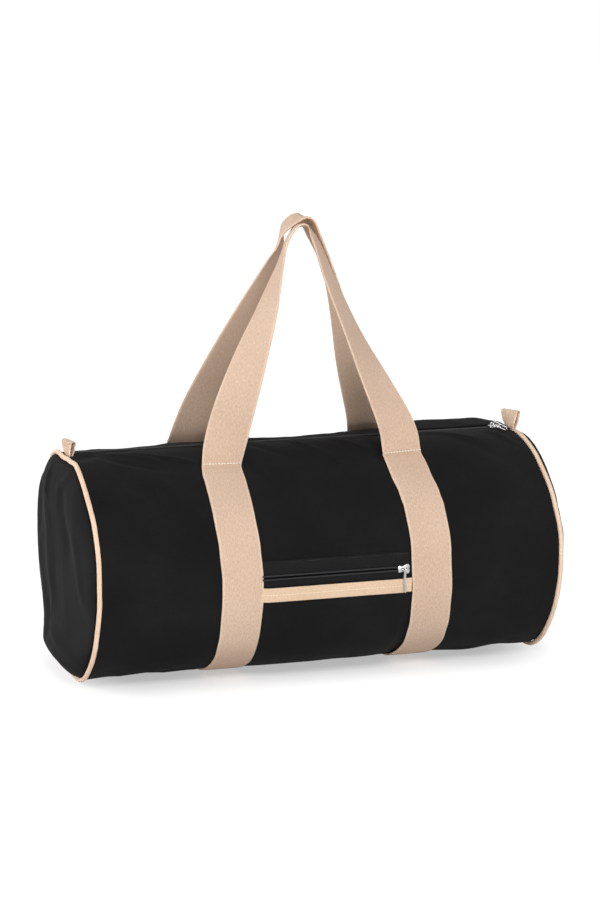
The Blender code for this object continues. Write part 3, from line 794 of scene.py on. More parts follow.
# %% Body panel
MOUTH_HALF = 0.0058
HEM = 0.009
FOLD = 0.0006
TURN_IN = 0.005
SEAM_CLEAR = 0.0026
CANVAS_WALL = 0.00045
SEAM_BEND = 0.0012
HALF_FREE = SEAM_X - SEAM_CLEAR
BODY_GRID = (170, 250)
SEAM_LINES = 3
FOLD_LINES = 6


def folded(past):
    """Forward and downward travel of cloth that has gone past a fold by a distance."""
    turned = min(past / FOLD, math.pi)
    flat = max(0.0, past - math.pi * FOLD)
    return FOLD * math.sin(turned) - flat, -FOLD * (1 - math.cos(turned))


def bent_in(past):
    """The same for cloth that turns a right angle into a seam."""
    turned = min(past / SEAM_BEND, math.pi / 2)
    straight = max(0.0, past - SEAM_BEND * math.pi / 2)
    return SEAM_BEND * math.sin(turned), -SEAM_BEND * (1 - math.cos(turned)) - straight


def body_point(flat_x, flat_round):
    side = 1.0 if flat_x > 0 else -1.0
    x, drop = abs(flat_x), 0.0
    if x > HALF_FREE - SEAM_BEND:
        out, drop = bent_in(x - HALF_FREE + SEAM_BEND)
        x = HALF_FREE - SEAM_BEND + out
    x *= side
    front, back = MOUTH_HALF + FOLD, GIRTH - MOUTH_HALF - FOLD
    if flat_round < front:
        out, down = folded(front - flat_round)
        return on_bag(x, front - out, down + drop, True)
    if flat_round > back:
        out, down = folded(flat_round - back)
        return on_bag(x, back + out, down + drop, True)
    return on_bag(x, flat_round, drop, True)


def cut_lines(mesh, axis, places):
    """Extra grid lines at the given places along an axis of the flat cut."""
    normal = Vector((1, 0, 0)) if axis == 0 else Vector((0, 1, 0))
    for place in places:
        whole = mesh.verts[:] + mesh.edges[:] + mesh.faces[:]
        bmesh.ops.bisect_plane(
            mesh, geom=whole, dist=MERGE_DISTANCE, plane_co=normal * place, plane_no=normal
        )


def make_body():
    length = 2 * (HALF_FREE + TURN_IN)
    start, end = MOUTH_HALF + FOLD - HEM, GIRTH - MOUTH_HALF - FOLD + HEM
    mesh = flat_cut(*BODY_GRID)
    edge = (HALF_FREE - SEAM_BEND) / length
    steps = [edge + SEAM_BEND / 2 * i / length for i in range(1, SEAM_LINES + 1)]
    cut_lines(mesh, 0, [edge] + steps + [-edge] + [-step for step in steps])
    rim = HEM / (end - start)
    turns = [rim - math.pi * FOLD * i / FOLD_LINES / (end - start) for i in range(FOLD_LINES + 1)]
    cut_lines(mesh, 1, [-0.5 + turn for turn in turns] + [0.5 - turn for turn in turns])

    def flat(u, v):
        return (u - 0.5) * length, start + v * (end - start)

    carry(mesh, flat, lambda u, v: body_point(*flat(u, v)))
    panel = made("body_canvas", mesh, BLACK_CANVAS, "bag", "body_panel", slot="canvas_black")
    walled(panel, CANVAS_WALL)


make_body()

# %% [markdown]
# ## The end panels
# Each end is one rounded piece of canvas, pushed out by what is in the bag. The flat grid is rolled to
# a disc, with its rings closer together near the seam, where the cloth turns sharply. It sags a
# little: the dome is deepest below the middle, with slow upright folds across it.

# %% End panels
SIDES = ((-1, "left"), (1, "right"))
DOME = 0.0088
END_GRID = (200, 44)
END_RADIUS = 0.11
END_WALL = 0.0006
# How far the dome's root stands off the seam, and how far the cloth turns back at its very edge
END_ROOT = 0.0016
END_TUCK = 0.0034
TUCK_START_SHARE = 0.985
END_FOLD = 0.0020
END_SHARP_CREASE = 0.0010
END_PUCKER = 0.0008
# Where the dome is fuller or flatter: height, reach, and share of the dome added there
END_SAG = ((0.018, 0.018, 1.30), (0.068, 0.022, -0.40), (0.175, 0.028, 0.38))
# Rows for a crease of an end panel: its two ends across and up, its half width and height, in mm
END_CREASES = (
    (20, 172, 18, 206, 5, 1.3), (-16, 184, -46, 204, 5, 1.0), (22, 170, 30, 60, 14, 1.6),
    (-30, 190, -44, 120, 12, -1.2), (26, 40, -78, 30, 4, 1.1), (0, 24, -70, 18, 4, 0.8),
    (60, 180, 84, 120, 10, -1.4), (70, 60, 30, 30, 8, -1.2), (-70, 160, -90, 90, 10, 0.9),
)


def end_point(side, share, round_it):
    """A point of the end panel, at a share of the way from its middle to the seam."""
    y, z, out_y, out_z = on_section(round_it)
    along, rise = seam_row(side * SEAM_X, round_it)
    inset = PIPING_RADIUS + FIT - rise
    y, z = y - out_y * inset, z - out_z * inset
    middle_z = (SIDE_LOW_Z + SIDE_HIGH_Z) / 2
    y, z = y * share, middle_z + (z - middle_z) * share
    out = DOME * (1 - share ** 6) ** 0.62
    out *= 1.0 + sum(more * bump(z, height, reach) for height, reach, more in END_SAG)
    fold = wobble(y / 0.035 + z / 0.35, z / 0.16, side * 5.0)
    crease = max(0.0, 1.0 - 3.2 * abs(wobble(y / 0.06 + z / 0.4, z / 0.22, side * 11.0)))
    pucker = wobble(side * 3.0, round_it / 0.011, share * 6)
    rim = math.exp(-(1 - share) / 0.09)
    inner = 1 - share ** 8
    out += inner * (END_FOLD * fold + END_SHARP_CREASE * crease)
    out += END_PUCKER * pucker * rim * (1 - rim ** 8)
    out += inner * crease_rise(-side * y / MILLI, z / MILLI, END_CREASES)
    tuck = END_TUCK * max(0.0, (share - TUCK_START_SHARE) / (1 - TUCK_START_SHARE)) ** 2
    return Vector((side * (SEAM_X + END_ROOT + out - tuck) + along * share ** 2, y, z))


def make_end(side, name):
    mesh = flat_cut(*END_GRID)

    def ring_share(v):
        return 1.0 - (1.0 - v) ** 2

    def flat(u, v):
        reach = ring_share(v) * END_RADIUS
        return math.sin(2 * math.pi * u) * reach, math.cos(2 * math.pi * u) * reach

    carry(mesh, flat, lambda u, v: end_point(side, ring_share(v), u % 1.0 * GIRTH))
    close_tube(mesh, ends=False)
    panel = made(name + "_canvas", mesh, BLACK_CANVAS, "bag", name, slot="canvas_black")
    walled(panel, END_WALL)
    return panel


for side, name in SIDES:
    panel = make_end(side, "end_panel_" + name)
    print(panel.name, len(panel.data.polygons), "faces")

# %% [markdown]
# ## The piping
# A cord in a strip of cotton is sewn into each end seam and stands up from it. The strip is rolled
# round the outline as a tube, and its thickness changes a little where the cotton is gathered.

# %% Piping
PIPING_GRID = (16, 420)
# How much the gathers change the piping's thickness, and how far it leans
GATHER_SHARE = 0.07
PIPING_LEAN = 0.0004


def make_piping(side, name):
    mesh = flat_cut(*PIPING_GRID)
    nodes = ("piping_cover_" + name, "piping_cord_" + name)

    def place(u, v):
        turn = 2 * math.pi * u
        round_it = v % 1.0 * GIRTH
        gather = wobble(side * 4.0, round_it / 0.008, math.cos(turn) * 0.6)
        radius = PIPING_RADIUS * (1.0 + GATHER_SHARE * gather)
        lean = PIPING_LEAN * wobble(side * 8.0, round_it / 0.03, 0.0)
        y, z, out_y, out_z = on_section(round_it)
        along, rise = seam_row(side * SEAM_X, round_it)
        rise += radius * math.cos(turn)
        across = side * SEAM_X + along + lean + radius * math.sin(turn)
        return Vector((across, y + out_y * rise, z + out_z * rise))

    carry(mesh, lambda u, v: (v * GIRTH, u * 2 * math.pi * PIPING_RADIUS), place)
    close_tube(mesh, ends=False)
    return made("piping_" + name, mesh, PIPING_COTTON, "bag", *nodes, slot="piping_natural")


for side, name in SIDES:
    print(make_piping(side, name).name, round(GIRTH, 3), "m round")

# %% [markdown]
# ## Stitches
# A stitch is a short length of thread that dips into the cloth at both ends. A row of them is one
# mesh: small beads stretched along the row and half sunk in it.

# %% Stitch rows
BEAD_SEGMENTS = 8
BEAD_RINGS = 6


def stitch_row(name, finish, points, outs, long, thick, slot):
    """A stitch at every point, laid along the row."""
    mesh = bmesh.new()
    for i, (point, out) in enumerate(zip(points, outs)):
        along = (points[min(i + 1, len(points) - 1)] - points[max(i - 1, 0)]).normalized()
        side = out.cross(along).normalized()
        turned = Matrix((along * long / 2, side * thick / 2, out * thick / 2)).transposed().to_4x4()
        turned.translation = point
        bmesh.ops.create_uvsphere(
            mesh, u_segments=BEAD_SEGMENTS, v_segments=BEAD_RINGS, radius=1.0, matrix=turned
        )
    return made(name, mesh, finish, "bag", slot=slot)


print("stitches are beads of", BEAD_SEGMENTS * BEAD_RINGS, "faces")

# %% [markdown]
# ## Straps
# Each strap is one band from the front stitches, under the bag, to the back ones. The canvas sinks a
# little under it, and it is drawn narrower where the handle is sewn on.

# %% Straps
STITCH_INSET = 0.0045
STRAP_OVERHANG = 0.001
STITCH_ROUND = round_at_height(TOP_Z - STRAP_END_DROP) + STITCH_INSET
STRAP_START = STITCH_ROUND - STRAP_OVERHANG
STRAP_LENGTH = GIRTH - 2 * STRAP_START
STRAP_ROWS = 260
# The webbing is drawn in at the stitches by this share of its width, over this reach
PINCH = 0.035
PINCH_REACH = 0.010
STRAP_WANDER = 0.0006
STRAP_ROLL = 0.02
# Rows for the middle of a strap: share of the way round, then how far it wanders along the bag, in mm
LEFT_SWAY = (
    (0.05, 1.9), (0.07, 1.5), (0.10, -0.9), (0.13, -1.6), (0.17, -1.7), (0.21, -0.4), (0.25, 1.6),
    (0.29, 1.9), (0.34, 3.7), (0.38, 5.0), (0.46, 2.4), (0.52, 0.0), (0.90, -2.0),
)
RIGHT_SWAY = (
    (0.09, -5.0), (0.12, -4.9), (0.15, -2.2), (0.17, -0.6), (0.23, 2.1), (0.29, 3.6), (0.34, 6.0),
    (0.38, 8.0), (0.46, 4.6), (0.52, 0.0), (0.90, -2.3),
)


def strap_middle(side, round_it, lift):
    """The middle of a strap, lifted off the canvas, and the way out of the bag."""
    sway = eased(LEFT_SWAY if side < 0 else RIGHT_SWAY, round_it / GIRTH) * MILLI
    y, z, out_y, out_z = on_section(round_it)
    rise = lift + FIT + swell(side * STRAP_X, round_it)
    return Vector((side * STRAP_X + sway, y + out_y * rise, z + out_z * rise)), Vector((0.0, out_y, out_z))


def strap_share(round_it):
    """The strap's width as a share of the webbing's: drawn in at the stitches."""
    near = min(abs(round_it - STITCH_ROUND), abs(GIRTH - STITCH_ROUND - round_it))
    return 1.0 - PINCH * bump(near, 0.0, PINCH_REACH)


def make_strap(side, name):
    def path(v):
        round_it = STRAP_START + v * STRAP_LENGTH
        middle, out = strap_middle(side, round_it, WEBBING_THICKNESS / 2)
        middle.x += STRAP_WANDER * wobble(side * 2.0, round_it / 0.07, 1.0)
        roll = out * STRAP_ROLL * wobble(side * 6.0, round_it / 0.05, 2.0)
        return middle, Vector((1, 0, 0)) + roll, out, strap_share(round_it)

    return band(
        "strap_webbing_" + name, NATURAL_WEBBING, "bag", ("strap_" + name,), "webbing_natural",
        STRAP_ROWS, STRAP_LENGTH, WEBBING_WIDTH, WEBBING_THICKNESS, path,
    )


for side, name in SIDES:
    print(make_strap(side, name).name, round(STRAP_LENGTH, 3), "m long")

# %% [markdown]
# ## Handles
# A handle is the strap's own webbing where it leaves the bag. It lies on the strap below the row of
# stitches, rises, and turns a quarter on the way up so that it lies flat over a hand. The back handle
# lies over the front one. Near the feet the webbing's width is blended from lying along the bag to
# lying square to its path.

# %% Handles
# How far the webbing's tail lies on the strap below the stitches
HANDLE_TAIL = 0.0035
HANDLE_PROUD = 0.00018
HANDLE_STEP = 0.001
HANDLE_POINTS = 900
HANDLE_SMOOTH_PASSES = 26
# Over this length from a foot the webbing's width goes from along the bag to square to its path
SQUARING_LENGTH = 0.035
HANDLE_WAVE = 0.0007
WAVE_START = 0.03
HANDLE_WIDTH_SHARE = 1.002
# The fall of each handle's webbing towards the back at its crown, as a share of its width
FRONT_TILT = 0.10
BACK_TILT = 0.02
# Rows from the left stitches to the right ones: place in mm, and the turn of the webbing in degrees
FRONT_HANDLE = (
    (-88, -55, 225, 10), (-78, -50, 255, 25), (-60, -42, 300, 50), (-39.5, -34, 350, 77),
    (-23.5, -27, 392, 100), (-15, -25, 416, 105), (-1, -23, 427, 107), (12, -25, 410, 116),
    (26, -29, 370, 122), (47, -33, 320, 130), (70, -39, 270, 150), (86, -50, 230, 170),
)
BACK_HANDLE = (
    (-90, 49, 225, 4), (-80, 43, 255, 14), (-60, 34, 300, 25), (-35, 27, 350, 40),
    (-15, 18, 394, 56), (-11, 9, 419, 80), (8, 3, 431.5, 94), (17, 3, 416, 95),
    (36, 9, 375, 90), (54, 22, 325, 104), (73, 37, 270, 138), (87, 48, 230, 166),
)


# A share just short of the whole, so that the last point still has a span
LAST_SHARE = 0.999999


def through(points, share):
    """A smooth curve through the points, each a tuple of numbers."""
    ends = [tuple(2 * a - b for a, b in zip(points[0], points[1]))]
    ends += list(points) + [tuple(2 * a - b for a, b in zip(points[-1], points[-2]))]
    place = min(share, LAST_SHARE) * (len(points) - 1)
    i, t = int(place), place - int(place)
    return tuple(
        (2 * b + (c - a) * t + (2 * a - 5 * b + 4 * c - d) * t * t + (3 * b - a - 3 * c + d) * t ** 3) / 2
        for a, b, c, d in zip(*ends[i:i + 4])
    )


def evenly(points, step):
    """The same path with its points a step apart."""
    even = [points[0]]
    gone = 0.0
    for near, far in zip(points, points[1:]):
        leg = math.dist(near[:3], far[:3])
        while leg > 0 and gone + leg >= step:
            share = (step - gone) / leg
            near = tuple(a + (b - a) * share for a, b in zip(near, far))
            even.append(near)
            leg = math.dist(near[:3], far[:3])
            gone = 0.0
        gone += leg
    return even


def past_stitches(face, past):
    """The place round the bag that lies below a foot's stitches by a distance."""
    return STITCH_ROUND + past if face < 0 else GIRTH - STITCH_ROUND - past


def foot_points(side, face, turn):
    """The webbing's middle from its tail on the strap to just above the stitches."""
    lift = WEBBING_THICKNESS / 2 + HANDLE_PROUD
    return [(*strap_middle(side, past_stitches(face, past), lift)[0], turn) for past in (HANDLE_TAIL, 0.0)]


def handle_path(face, table, tilt):
    """Rows of (middle, across, out), a step apart, from one foot's tail to the other's."""
    rows = [(x * MILLI, y * MILLI, z * MILLI, math.radians(turn)) for x, y, z, turn in table]
    left = foot_points(-1, face, 0.0)
    right = foot_points(1, face, math.pi)[::-1]
    knots = left[1:] + rows + right[:1]
    fine = [through(knots, i / HANDLE_POINTS) for i in range(HANDLE_POINTS + 1)]
    fine = evenly(left[:1] + fine + right[1:], HANDLE_STEP)
    for _ in range(HANDLE_SMOOTH_PASSES):
        fine = fine[:2] + smoothed(zip(fine[1:], fine[2:-2], fine[3:])) + fine[-2:]
    last = len(fine) - 1
    path = []
    for i, (x, y, z, turn) in enumerate(fine):
        before, after = fine[max(i - 1, 0)], fine[min(i + 1, last)]
        along = Vector(tuple(b - a for a, b in zip(before[:3], after[:3]))).normalized()
        across = Vector((math.cos(turn), face * math.sin(turn), -face * tilt * math.sin(turn)))
        square = min(1.0, min(i, last - i) * HANDLE_STEP / SQUARING_LENGTH)
        across = (across - along * across.dot(along) * square).normalized()
        if square < 1.0:
            along = (along - Vector((along.x, 0.0, 0.0)) * (1.0 - square)).normalized()
        path.append((Vector((x, y, z)), across, along.cross(across).normalized()))
    return path


def make_handle(name, face, table, tilt):
    rows = handle_path(face, table, tilt)
    length = sum((b[0] - a[0]).length for a, b in zip(rows, rows[1:]))

    def path(v):
        place = v * (len(rows) - 1)
        i = min(int(place), len(rows) - 2)
        middle, across, out = (a.lerp(b, place - i) for a, b in zip(rows[i], rows[i + 1]))
        from_foot = min(v, 1.0 - v) * length
        wave = HANDLE_WAVE * wobble(face * 3.0, v * length / 0.06, 4.0) * min(1.0, from_foot / WAVE_START)
        pinch = HANDLE_WIDTH_SHARE - PINCH * bump(from_foot, HANDLE_TAIL, PINCH_REACH)
        return middle + out * wave, across, out, pinch

    piece = band(
        name + "_webbing", NATURAL_WEBBING, None, (name,), "webbing_natural",
        len(rows) - 1, length, WEBBING_WIDTH, WEBBING_THICKNESS, path,
    )
    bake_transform(piece)
    return piece, length


for name, face, table, tilt in (
    ("handle_front", -1, FRONT_HANDLE, FRONT_TILT), ("handle_back", 1, BACK_HANDLE, BACK_TILT),
):
    piece, length = make_handle(name, face, table, tilt)
    print(piece.name, round(length, 3), "m long")

# %% [markdown]
# ## End loops
# A short piece of narrow webbing is folded double and its ends are sewn into the seam at each end of
# the mouth. It is a band whose path goes up, over and down, and which is turned a little as it rises.

# %% End loops
LOOP_THICKNESS = 0.0015
LOOP_OPENING = 0.0032
LOOP_OUTBOARD = 0.00285
LOOP_TAIL = 0.007
LOOP_ROWS = 110
# The legs stay together from below the seam to this height
LOOP_PARTING = 0.001
LOOP_FOLD_TURNS = (0.5, 1.05, 1.57, 2.09, 2.64)
LOOP_PINCH = 0.05
LOOP_PINCH_Z = 0.002
LOOP_PINCH_REACH = 0.004
LOOP_LEAN = 0.0006
# The share of the path, before and after a place, that gives its direction there
LOOP_LOOK = 0.01
# Each loop: side, name, turn in degrees, height, and how far it moves along the bag and down
LOOPS = ((-1, "left", 14.0, 0.0165, -0.0025, 0.0036), (1, "right", 33.0, 0.0200, -0.0020, 0.0036))


def make_loop(side, name, turn_deg, height, shift, sink):
    """A loop turned, made to a height, and moved along the bag and down with its seam."""
    middle_x = side * (SEAM_X - LOOP_OUTBOARD - LOOP_THICKNESS - FIT / 2) + shift
    foot = (LOOP_THICKNESS + FIT) / 2
    spread = (LOOP_THICKNESS + LOOP_OPENING) / 2
    crown = height - LOOP_THICKNESS / 2 - spread
    leg = [(-foot, z) for z in (-LOOP_TAIL, -2 * LOOP_PARTING, LOOP_PARTING)]
    leg += [(-spread * 0.85, crown * 0.45), (-spread, crown)]
    fold = [(-spread * math.cos(turn), crown + spread * math.sin(turn)) for turn in LOOP_FOLD_TURNS]
    knots = leg + fold + [(-x, z) for x, z in reversed(leg)]
    length = 2 * (height + LOOP_TAIL)

    def path(v):
        x, z = through(knots, v)
        ahead = Vector(through(knots, min(1.0, v + LOOP_LOOK)))
        ahead -= Vector(through(knots, max(0.0, v - LOOP_LOOK)))
        raised = kept((z - LOOP_PARTING) / crown)
        spin = Matrix.Rotation(math.radians(turn_deg) * raised, 4, "Z")
        lean = Vector((0.0, LOOP_LEAN * raised * side, 0.0))
        middle = spin @ Vector((x, 0.0, z)) + lean + Vector((middle_x, 0.0, TOP_Z - sink))
        out = spin @ Vector((-ahead.y, 0.0, ahead.x)).normalized()
        pinch = 1.0 - LOOP_PINCH * bump(z, LOOP_PINCH_Z, LOOP_PINCH_REACH)
        return middle, spin @ Vector((0, 1, 0)), out, pinch

    return band(
        "loop_webbing_" + name, LOOP_WEBBING, "bag", ("loop_" + name,), "webbing_natural",
        LOOP_ROWS, length, LOOP_WIDTH, LOOP_THICKNESS, path,
    )


for loop in LOOPS:
    print(make_loop(*loop).name, "turned", loop[2], "degrees")

# %% [markdown]
# ## Zips
# A zip is two ribbons with a nylon coil sewn along the edge of each. A coil is one thread wound like
# a spring, so each row is a tube whose radius rises and falls as the winding passes. Both zips are
# made by the same steps, and only the way from the zip's own directions to the bag differs: along
# the chain, across it, and outwards.

# %% Zip coils
CHAIN_GAP_HALF = 0.00075
TAPE_WIDTH = 0.015
TAPE_THICKNESS = 0.0005
COIL_BACK = TAPE_THICKNESS + FIT
COIL_HEIGHT = 0.0017
COIL_FRONT = COIL_BACK + COIL_HEIGHT
COIL_PITCH = 0.0015
# The middle of a coil, across from the middle of the chain, and half its width
COIL_ACROSS = 0.00170
COIL_HALF_WIDTH = 0.00105
# The thickness of the winding's tube as a share: its mean and its rise and fall
WIND_MEAN = 0.80
WIND_CHANGE = 0.20
COIL_POINTS = 10
ROWS_PER_WIND = 5
COIL_WRAP = 0.006
MAIN_TAPE_DROP = 0.0018
MAIN_TAPE_Z = TOP_Z - MAIN_TAPE_DROP
MAIN_HALF_LENGTH = 0.2215
POCKET_ZIP_Z = 0.1107
POCKET_HALF_LENGTH = 0.0727
POCKET_TAPE_OFFSET = 0.0013


def main_zip_place(x, across, out):
    """The chain is straight, and sinks with the seam only past the ends of the slider's run."""
    return Vector((x, across, MAIN_TAPE_Z + out + seam_row(x, 0.0)[1] * end_dip(x)))


def pocket_zip_place(x, across, out):
    return Vector((x, -BODY_DEPTH / 2 - POCKET_TAPE_OFFSET - out, POCKET_ZIP_Z + across))


def make_coil(name, half_length, to_bag, side, node):
    mesh = flat_cut(COIL_POINTS, round(2 * half_length / COIL_PITCH * ROWS_PER_WIND))

    def place(u, v):
        x, turn = (v - 0.5) * 2 * half_length, 2 * math.pi * u
        wind = WIND_MEAN + WIND_CHANGE * math.cos(2 * math.pi * x / COIL_PITCH + side * turn)
        across = COIL_ACROSS + COIL_HALF_WIDTH * wind * math.cos(turn)
        out = (COIL_BACK + COIL_FRONT) / 2 + COIL_HEIGHT / 2 * wind * math.sin(turn)
        return to_bag(x, side * across, out)

    carry(mesh, lambda u, v: (v * 2 * half_length, u * COIL_WRAP), place)
    close_tube(mesh)
    return made(name, mesh, ZIP_NYLON, "bag", node, slot="zip_coil_black")


print("turns of coil on the main zip:", round(2 * MAIN_HALF_LENGTH / COIL_PITCH))

# %% [markdown]
# ## Zip tapes
# The main zip's ribbons lie flat under the coils and then go up against the underside of the canvas.
# On the pocket the upper ribbon slopes back to the canvas and the lower one hides behind the trim. All
# four are the same flat cut, so only the way they are carried is written for each zip. A flat cut has
# no inside, so its faces are turned the way they are seen before it gets its wall.

# %% Zip tapes
UPWARD = Vector((0, 0, 1))
FORWARD = Vector((0, -1, 0))
# The width of tape that stays flat under a coil, then the width over which it changes level
MAIN_FLAT_WIDTH = 0.0035
POCKET_FLAT_WIDTH = 0.005
POCKET_SLOPE_WIDTH = 0.0107
LEVEL_CHANGE = 0.003
MAIN_TAPE_GRID = (200, 14)
POCKET_TAPE_GRID = (90, 12)
MAIN_TAPE_RIPPLE = 0.00015
POCKET_TAPE_RIPPLE = 0.00025
POCKET_EDGE_DIP = 0.0012
POCKET_OPEN_HALF = 0.0655
POCKET_OPEN_FADE = 0.0075


def facing_out(cloth, direction):
    """Turn a flat cloth's faces the way they are seen, then give it its wall."""
    if sum((face.normal for face in cloth.data.polygons), Vector()).dot(direction) < 0:
        cloth.data.flip_normals()
    return walled(cloth, TAPE_THICKNESS)


def make_tape(name, node, half_length, grid, place_on_tape, direction):
    """A flat ribbon beside a chain. place_on_tape takes metres along and across, and the share across."""
    mesh = flat_cut(*grid)

    def place(u, v):
        return place_on_tape((u - 0.5) * 2 * half_length, CHAIN_GAP_HALF + v * TAPE_WIDTH, v)

    carry(mesh, lambda u, v: (u * 2 * half_length, v * TAPE_WIDTH), place)
    tape = made(name, mesh, ZIP_TAPE, "bag", node, slot="zip_tape_black", outward=False)
    return facing_out(tape, direction)


def make_main_tape(name, side):
    """Flat under the coil, then held against the underside of the canvas."""
    def place(x, across, v):
        round_it = across if side < 0 else GIRTH - across
        level = main_zip_place(x, 0.0, 0.0).z - MAIN_TAPE_Z
        rise = (swell(x, round_it) - level) * kept((across - MAIN_FLAT_WIDTH) / LEVEL_CHANGE)
        ripple = MAIN_TAPE_RIPPLE * wobble(x / 0.012, side * 5.0, 0.0) * v
        return main_zip_place(x, side * across, TAPE_THICKNESS + rise + ripple)

    node = "main_zip_tape_" + name
    return make_tape("main_tape_" + name, node, MAIN_HALF_LENGTH, MAIN_TAPE_GRID, place, UPWARD)


def edge_dip(x):
    """0 along the pocket, rising to 1 where its edges go under the straps."""
    return 1.0 - between(x, -POCKET_OPEN_HALF, POCKET_OPEN_HALF, POCKET_OPEN_FADE)


def make_pocket_tape(name, side):
    """The upper tape slopes back to the canvas, and the lower one hides behind the trim."""
    def place(x, across, v):
        past_coil = across - POCKET_FLAT_WIDTH
        slope = max(0.0, past_coil / POCKET_SLOPE_WIDTH)
        drop = (POCKET_TAPE_OFFSET - FIT) * slope
        if side < 0:
            drop = POCKET_EDGE_DIP * edge_dip(x) * kept(past_coil / LEVEL_CHANGE)
        ripple = POCKET_TAPE_RIPPLE * wobble(x / 0.014, side * 7.0, v) * slope
        return pocket_zip_place(x, side * across, TAPE_THICKNESS - drop + ripple)

    node = "pocket_zip_tape_" + name
    return make_tape("pocket_tape_" + name, node, POCKET_HALF_LENGTH, POCKET_TAPE_GRID, place, FORWARD)


FACES = ((-1, "front"), (1, "back"))
for side, name in FACES:
    make_coil("main_coil_" + name, MAIN_HALF_LENGTH, main_zip_place, side, "main_zip_coil_" + name)
    make_main_tape(name, side)
for side, name in ((-1, "lower"), (1, "upper")):
    make_coil("pocket_coil_" + name, POCKET_HALF_LENGTH, pocket_zip_place, side, "pocket_zip_coil_" + name)
    make_pocket_tape(name, side)
print("zip tapes are", TAPE_WIDTH / MILLI, "mm wide")

# %% [markdown]
# ## Sliders and rings
# A slider is two plates joined at the crown, with sides that gather the coils. On top stands a bail,
# a small staple that holds the ring. The plates share one outline, which is widest where the two
# rows of coil come apart.

# %% Sizes of sliders and rings
SLIDER_LENGTH = 0.0112
SLIDER_HALF_WIDTH = 0.0047
PLATE = 0.0007
PLATE_EDGE = 0.00022
UNDERSIDE_INSET = 0.0001
TOP_PLATE_LOW = COIL_FRONT + FIT
# The slider's side walls and the web between its plates bite this far into what they join
BITE = 0.0001
SIDE_WALL = 0.0006
SIDE_EDGE = 0.00012
WEB_EDGE = 0.00008
WEB_OUTLINE = ((0.0046, 0.0004), (0.0052, 0.0), (0.0046, -0.0004), (0.0036, -0.0003), (0.0036, 0.0003))
BAIL_HEIGHT = 0.00255
BAIL_AXIS = TOP_PLATE_LOW + PLATE + BAIL_HEIGHT
BAIL_RADIUS = 0.0005
BAIL_HALF = 0.0037
# A bail's leg, out and up from the plate, then its top, out and up from the bar that the ring hangs on
BAIL_LEG = ((BAIL_HALF, -0.0003), (0.0036, 0.0012))
BAIL_TOP = ((0.0031, -0.0004), (0.0020, 0.0001), (0.0009, 0.0))
BAIL_STEPS = 40
FOOT_LONG = 0.0011
FOOT_WIDE = 0.0009
FOOT_THICK = 0.0006
FOOT_EDGE = 0.0002
FOOT_POINTS = 10
WIRE_RADIUS = 0.0006
RING_HALF = 0.00165
RING_LENGTH = 0.0252
RING_STEPS = 14
# A straight side of the ring is longer than the first, and is cut into as many pieces as the second
LONG_LEG = 0.004
LEG_STEPS = 12
# Edges sharper than this stay sharp in the look of a slider
SLIDER_SMOOTH_DEG = 35.0
# Each row: share of the length from the tail to the crown, and share of the half width
SLIDER_SHARES = (
    (0.00, 0.60), (0.05, 0.70), (0.14, 0.72), (0.26, 0.64), (0.38, 0.60), (0.50, 0.68), (0.60, 0.84),
    (0.70, 0.96), (0.80, 1.00), (0.90, 0.93), (0.97, 0.74), (1.00, 0.42), (0.965, 0.14),
)


def slider_outline(inset):
    half = [
        ((along - 0.5) * (SLIDER_LENGTH - 2 * inset), wide * (SLIDER_HALF_WIDTH - inset))
        for along, wide in SLIDER_SHARES
    ]
    return half + [(x, -across) for x, across in reversed(half)]


print("a slider's outline has", len(slider_outline(0.0)), "corners")


# %% [markdown]
# ## Plates and wires
# Cast metal has soft edges, so a plate is its outline filled, extruded and then bevelled. A wire is a
# flat grid rolled to a tube along its path, with a frame of two directions that is carried from point
# to point, so that the tube doesn't twist.

# %% Plates and wires
def join_part(mesh, part):
    """Add a part's mesh to the whole, and free the part."""
    joined = bpy.data.meshes.new("part")
    part.to_mesh(joined)
    part.free()
    mesh.from_mesh(joined)
    bpy.data.meshes.remove(joined)


def plate(mesh, outline, low, thickness, edge):
    """An outline filled, extruded to a plate and rounded along its edges."""
    part = bmesh.new()
    corners = [part.verts.new((x, across, low)) for x, across in outline]
    face = part.faces.new(corners)
    raised = bmesh.ops.extrude_face_region(part, geom=[face])
    moved = [item for item in raised["geom"] if isinstance(item, bmesh.types.BMVert)]
    bmesh.ops.translate(part, verts=moved, vec=(0, 0, thickness))
    bmesh.ops.recalc_face_normals(part, faces=part.faces)
    rims = [rim for rim in part.edges if rim.calc_face_angle(0.0) > math.radians(60)]
    bmesh.ops.bevel(part, geom=rims, offset=edge, segments=2, profile=0.5, affect="EDGES", material=-1)
    join_part(mesh, part)


def wire(mesh, points, radius, closed=False, sides=10):
    """A tube along points, joined to the mesh."""
    part = flat_cut(sides, len(points) if closed else len(points) - 1)
    count = len(points)
    ways = [
        (points[(i + 1) % count] - points[i - 1] if closed else
         points[min(i + 1, count - 1)] - points[max(i - 1, 0)]).normalized()
        for i in range(count)
    ]
    side = ways[0].orthogonal().normalized()
    frames = []
    for way in ways:
        side = (side - way * side.dot(way)).normalized()
        frames.append((side.copy(), way.cross(side)))
    last = count if closed else count - 1

    def place(u, v):
        i = round(v * last) % count
        turn = 2 * math.pi * u
        return points[i] + (frames[i][0] * math.cos(turn) + frames[i][1] * math.sin(turn)) * radius

    for vert in part.verts:
        vert.co = place(vert.co.x + 0.5, vert.co.y + 0.5)
    close_tube(part, ends=not closed)
    join_part(mesh, part)


print("a wire of the ring is", 2 * WIRE_RADIUS / MILLI, "mm thick")


# %% [markdown]
# ## One slider
# The slider is built flat at the origin, in the zip's own directions, and its corners are then carried
# to the chain as the coils were. The rim of the upper plate is bent down on both sides, which here is
# a thin plate along each side, and the bail is a wire bent over the middle with a foot at each end.

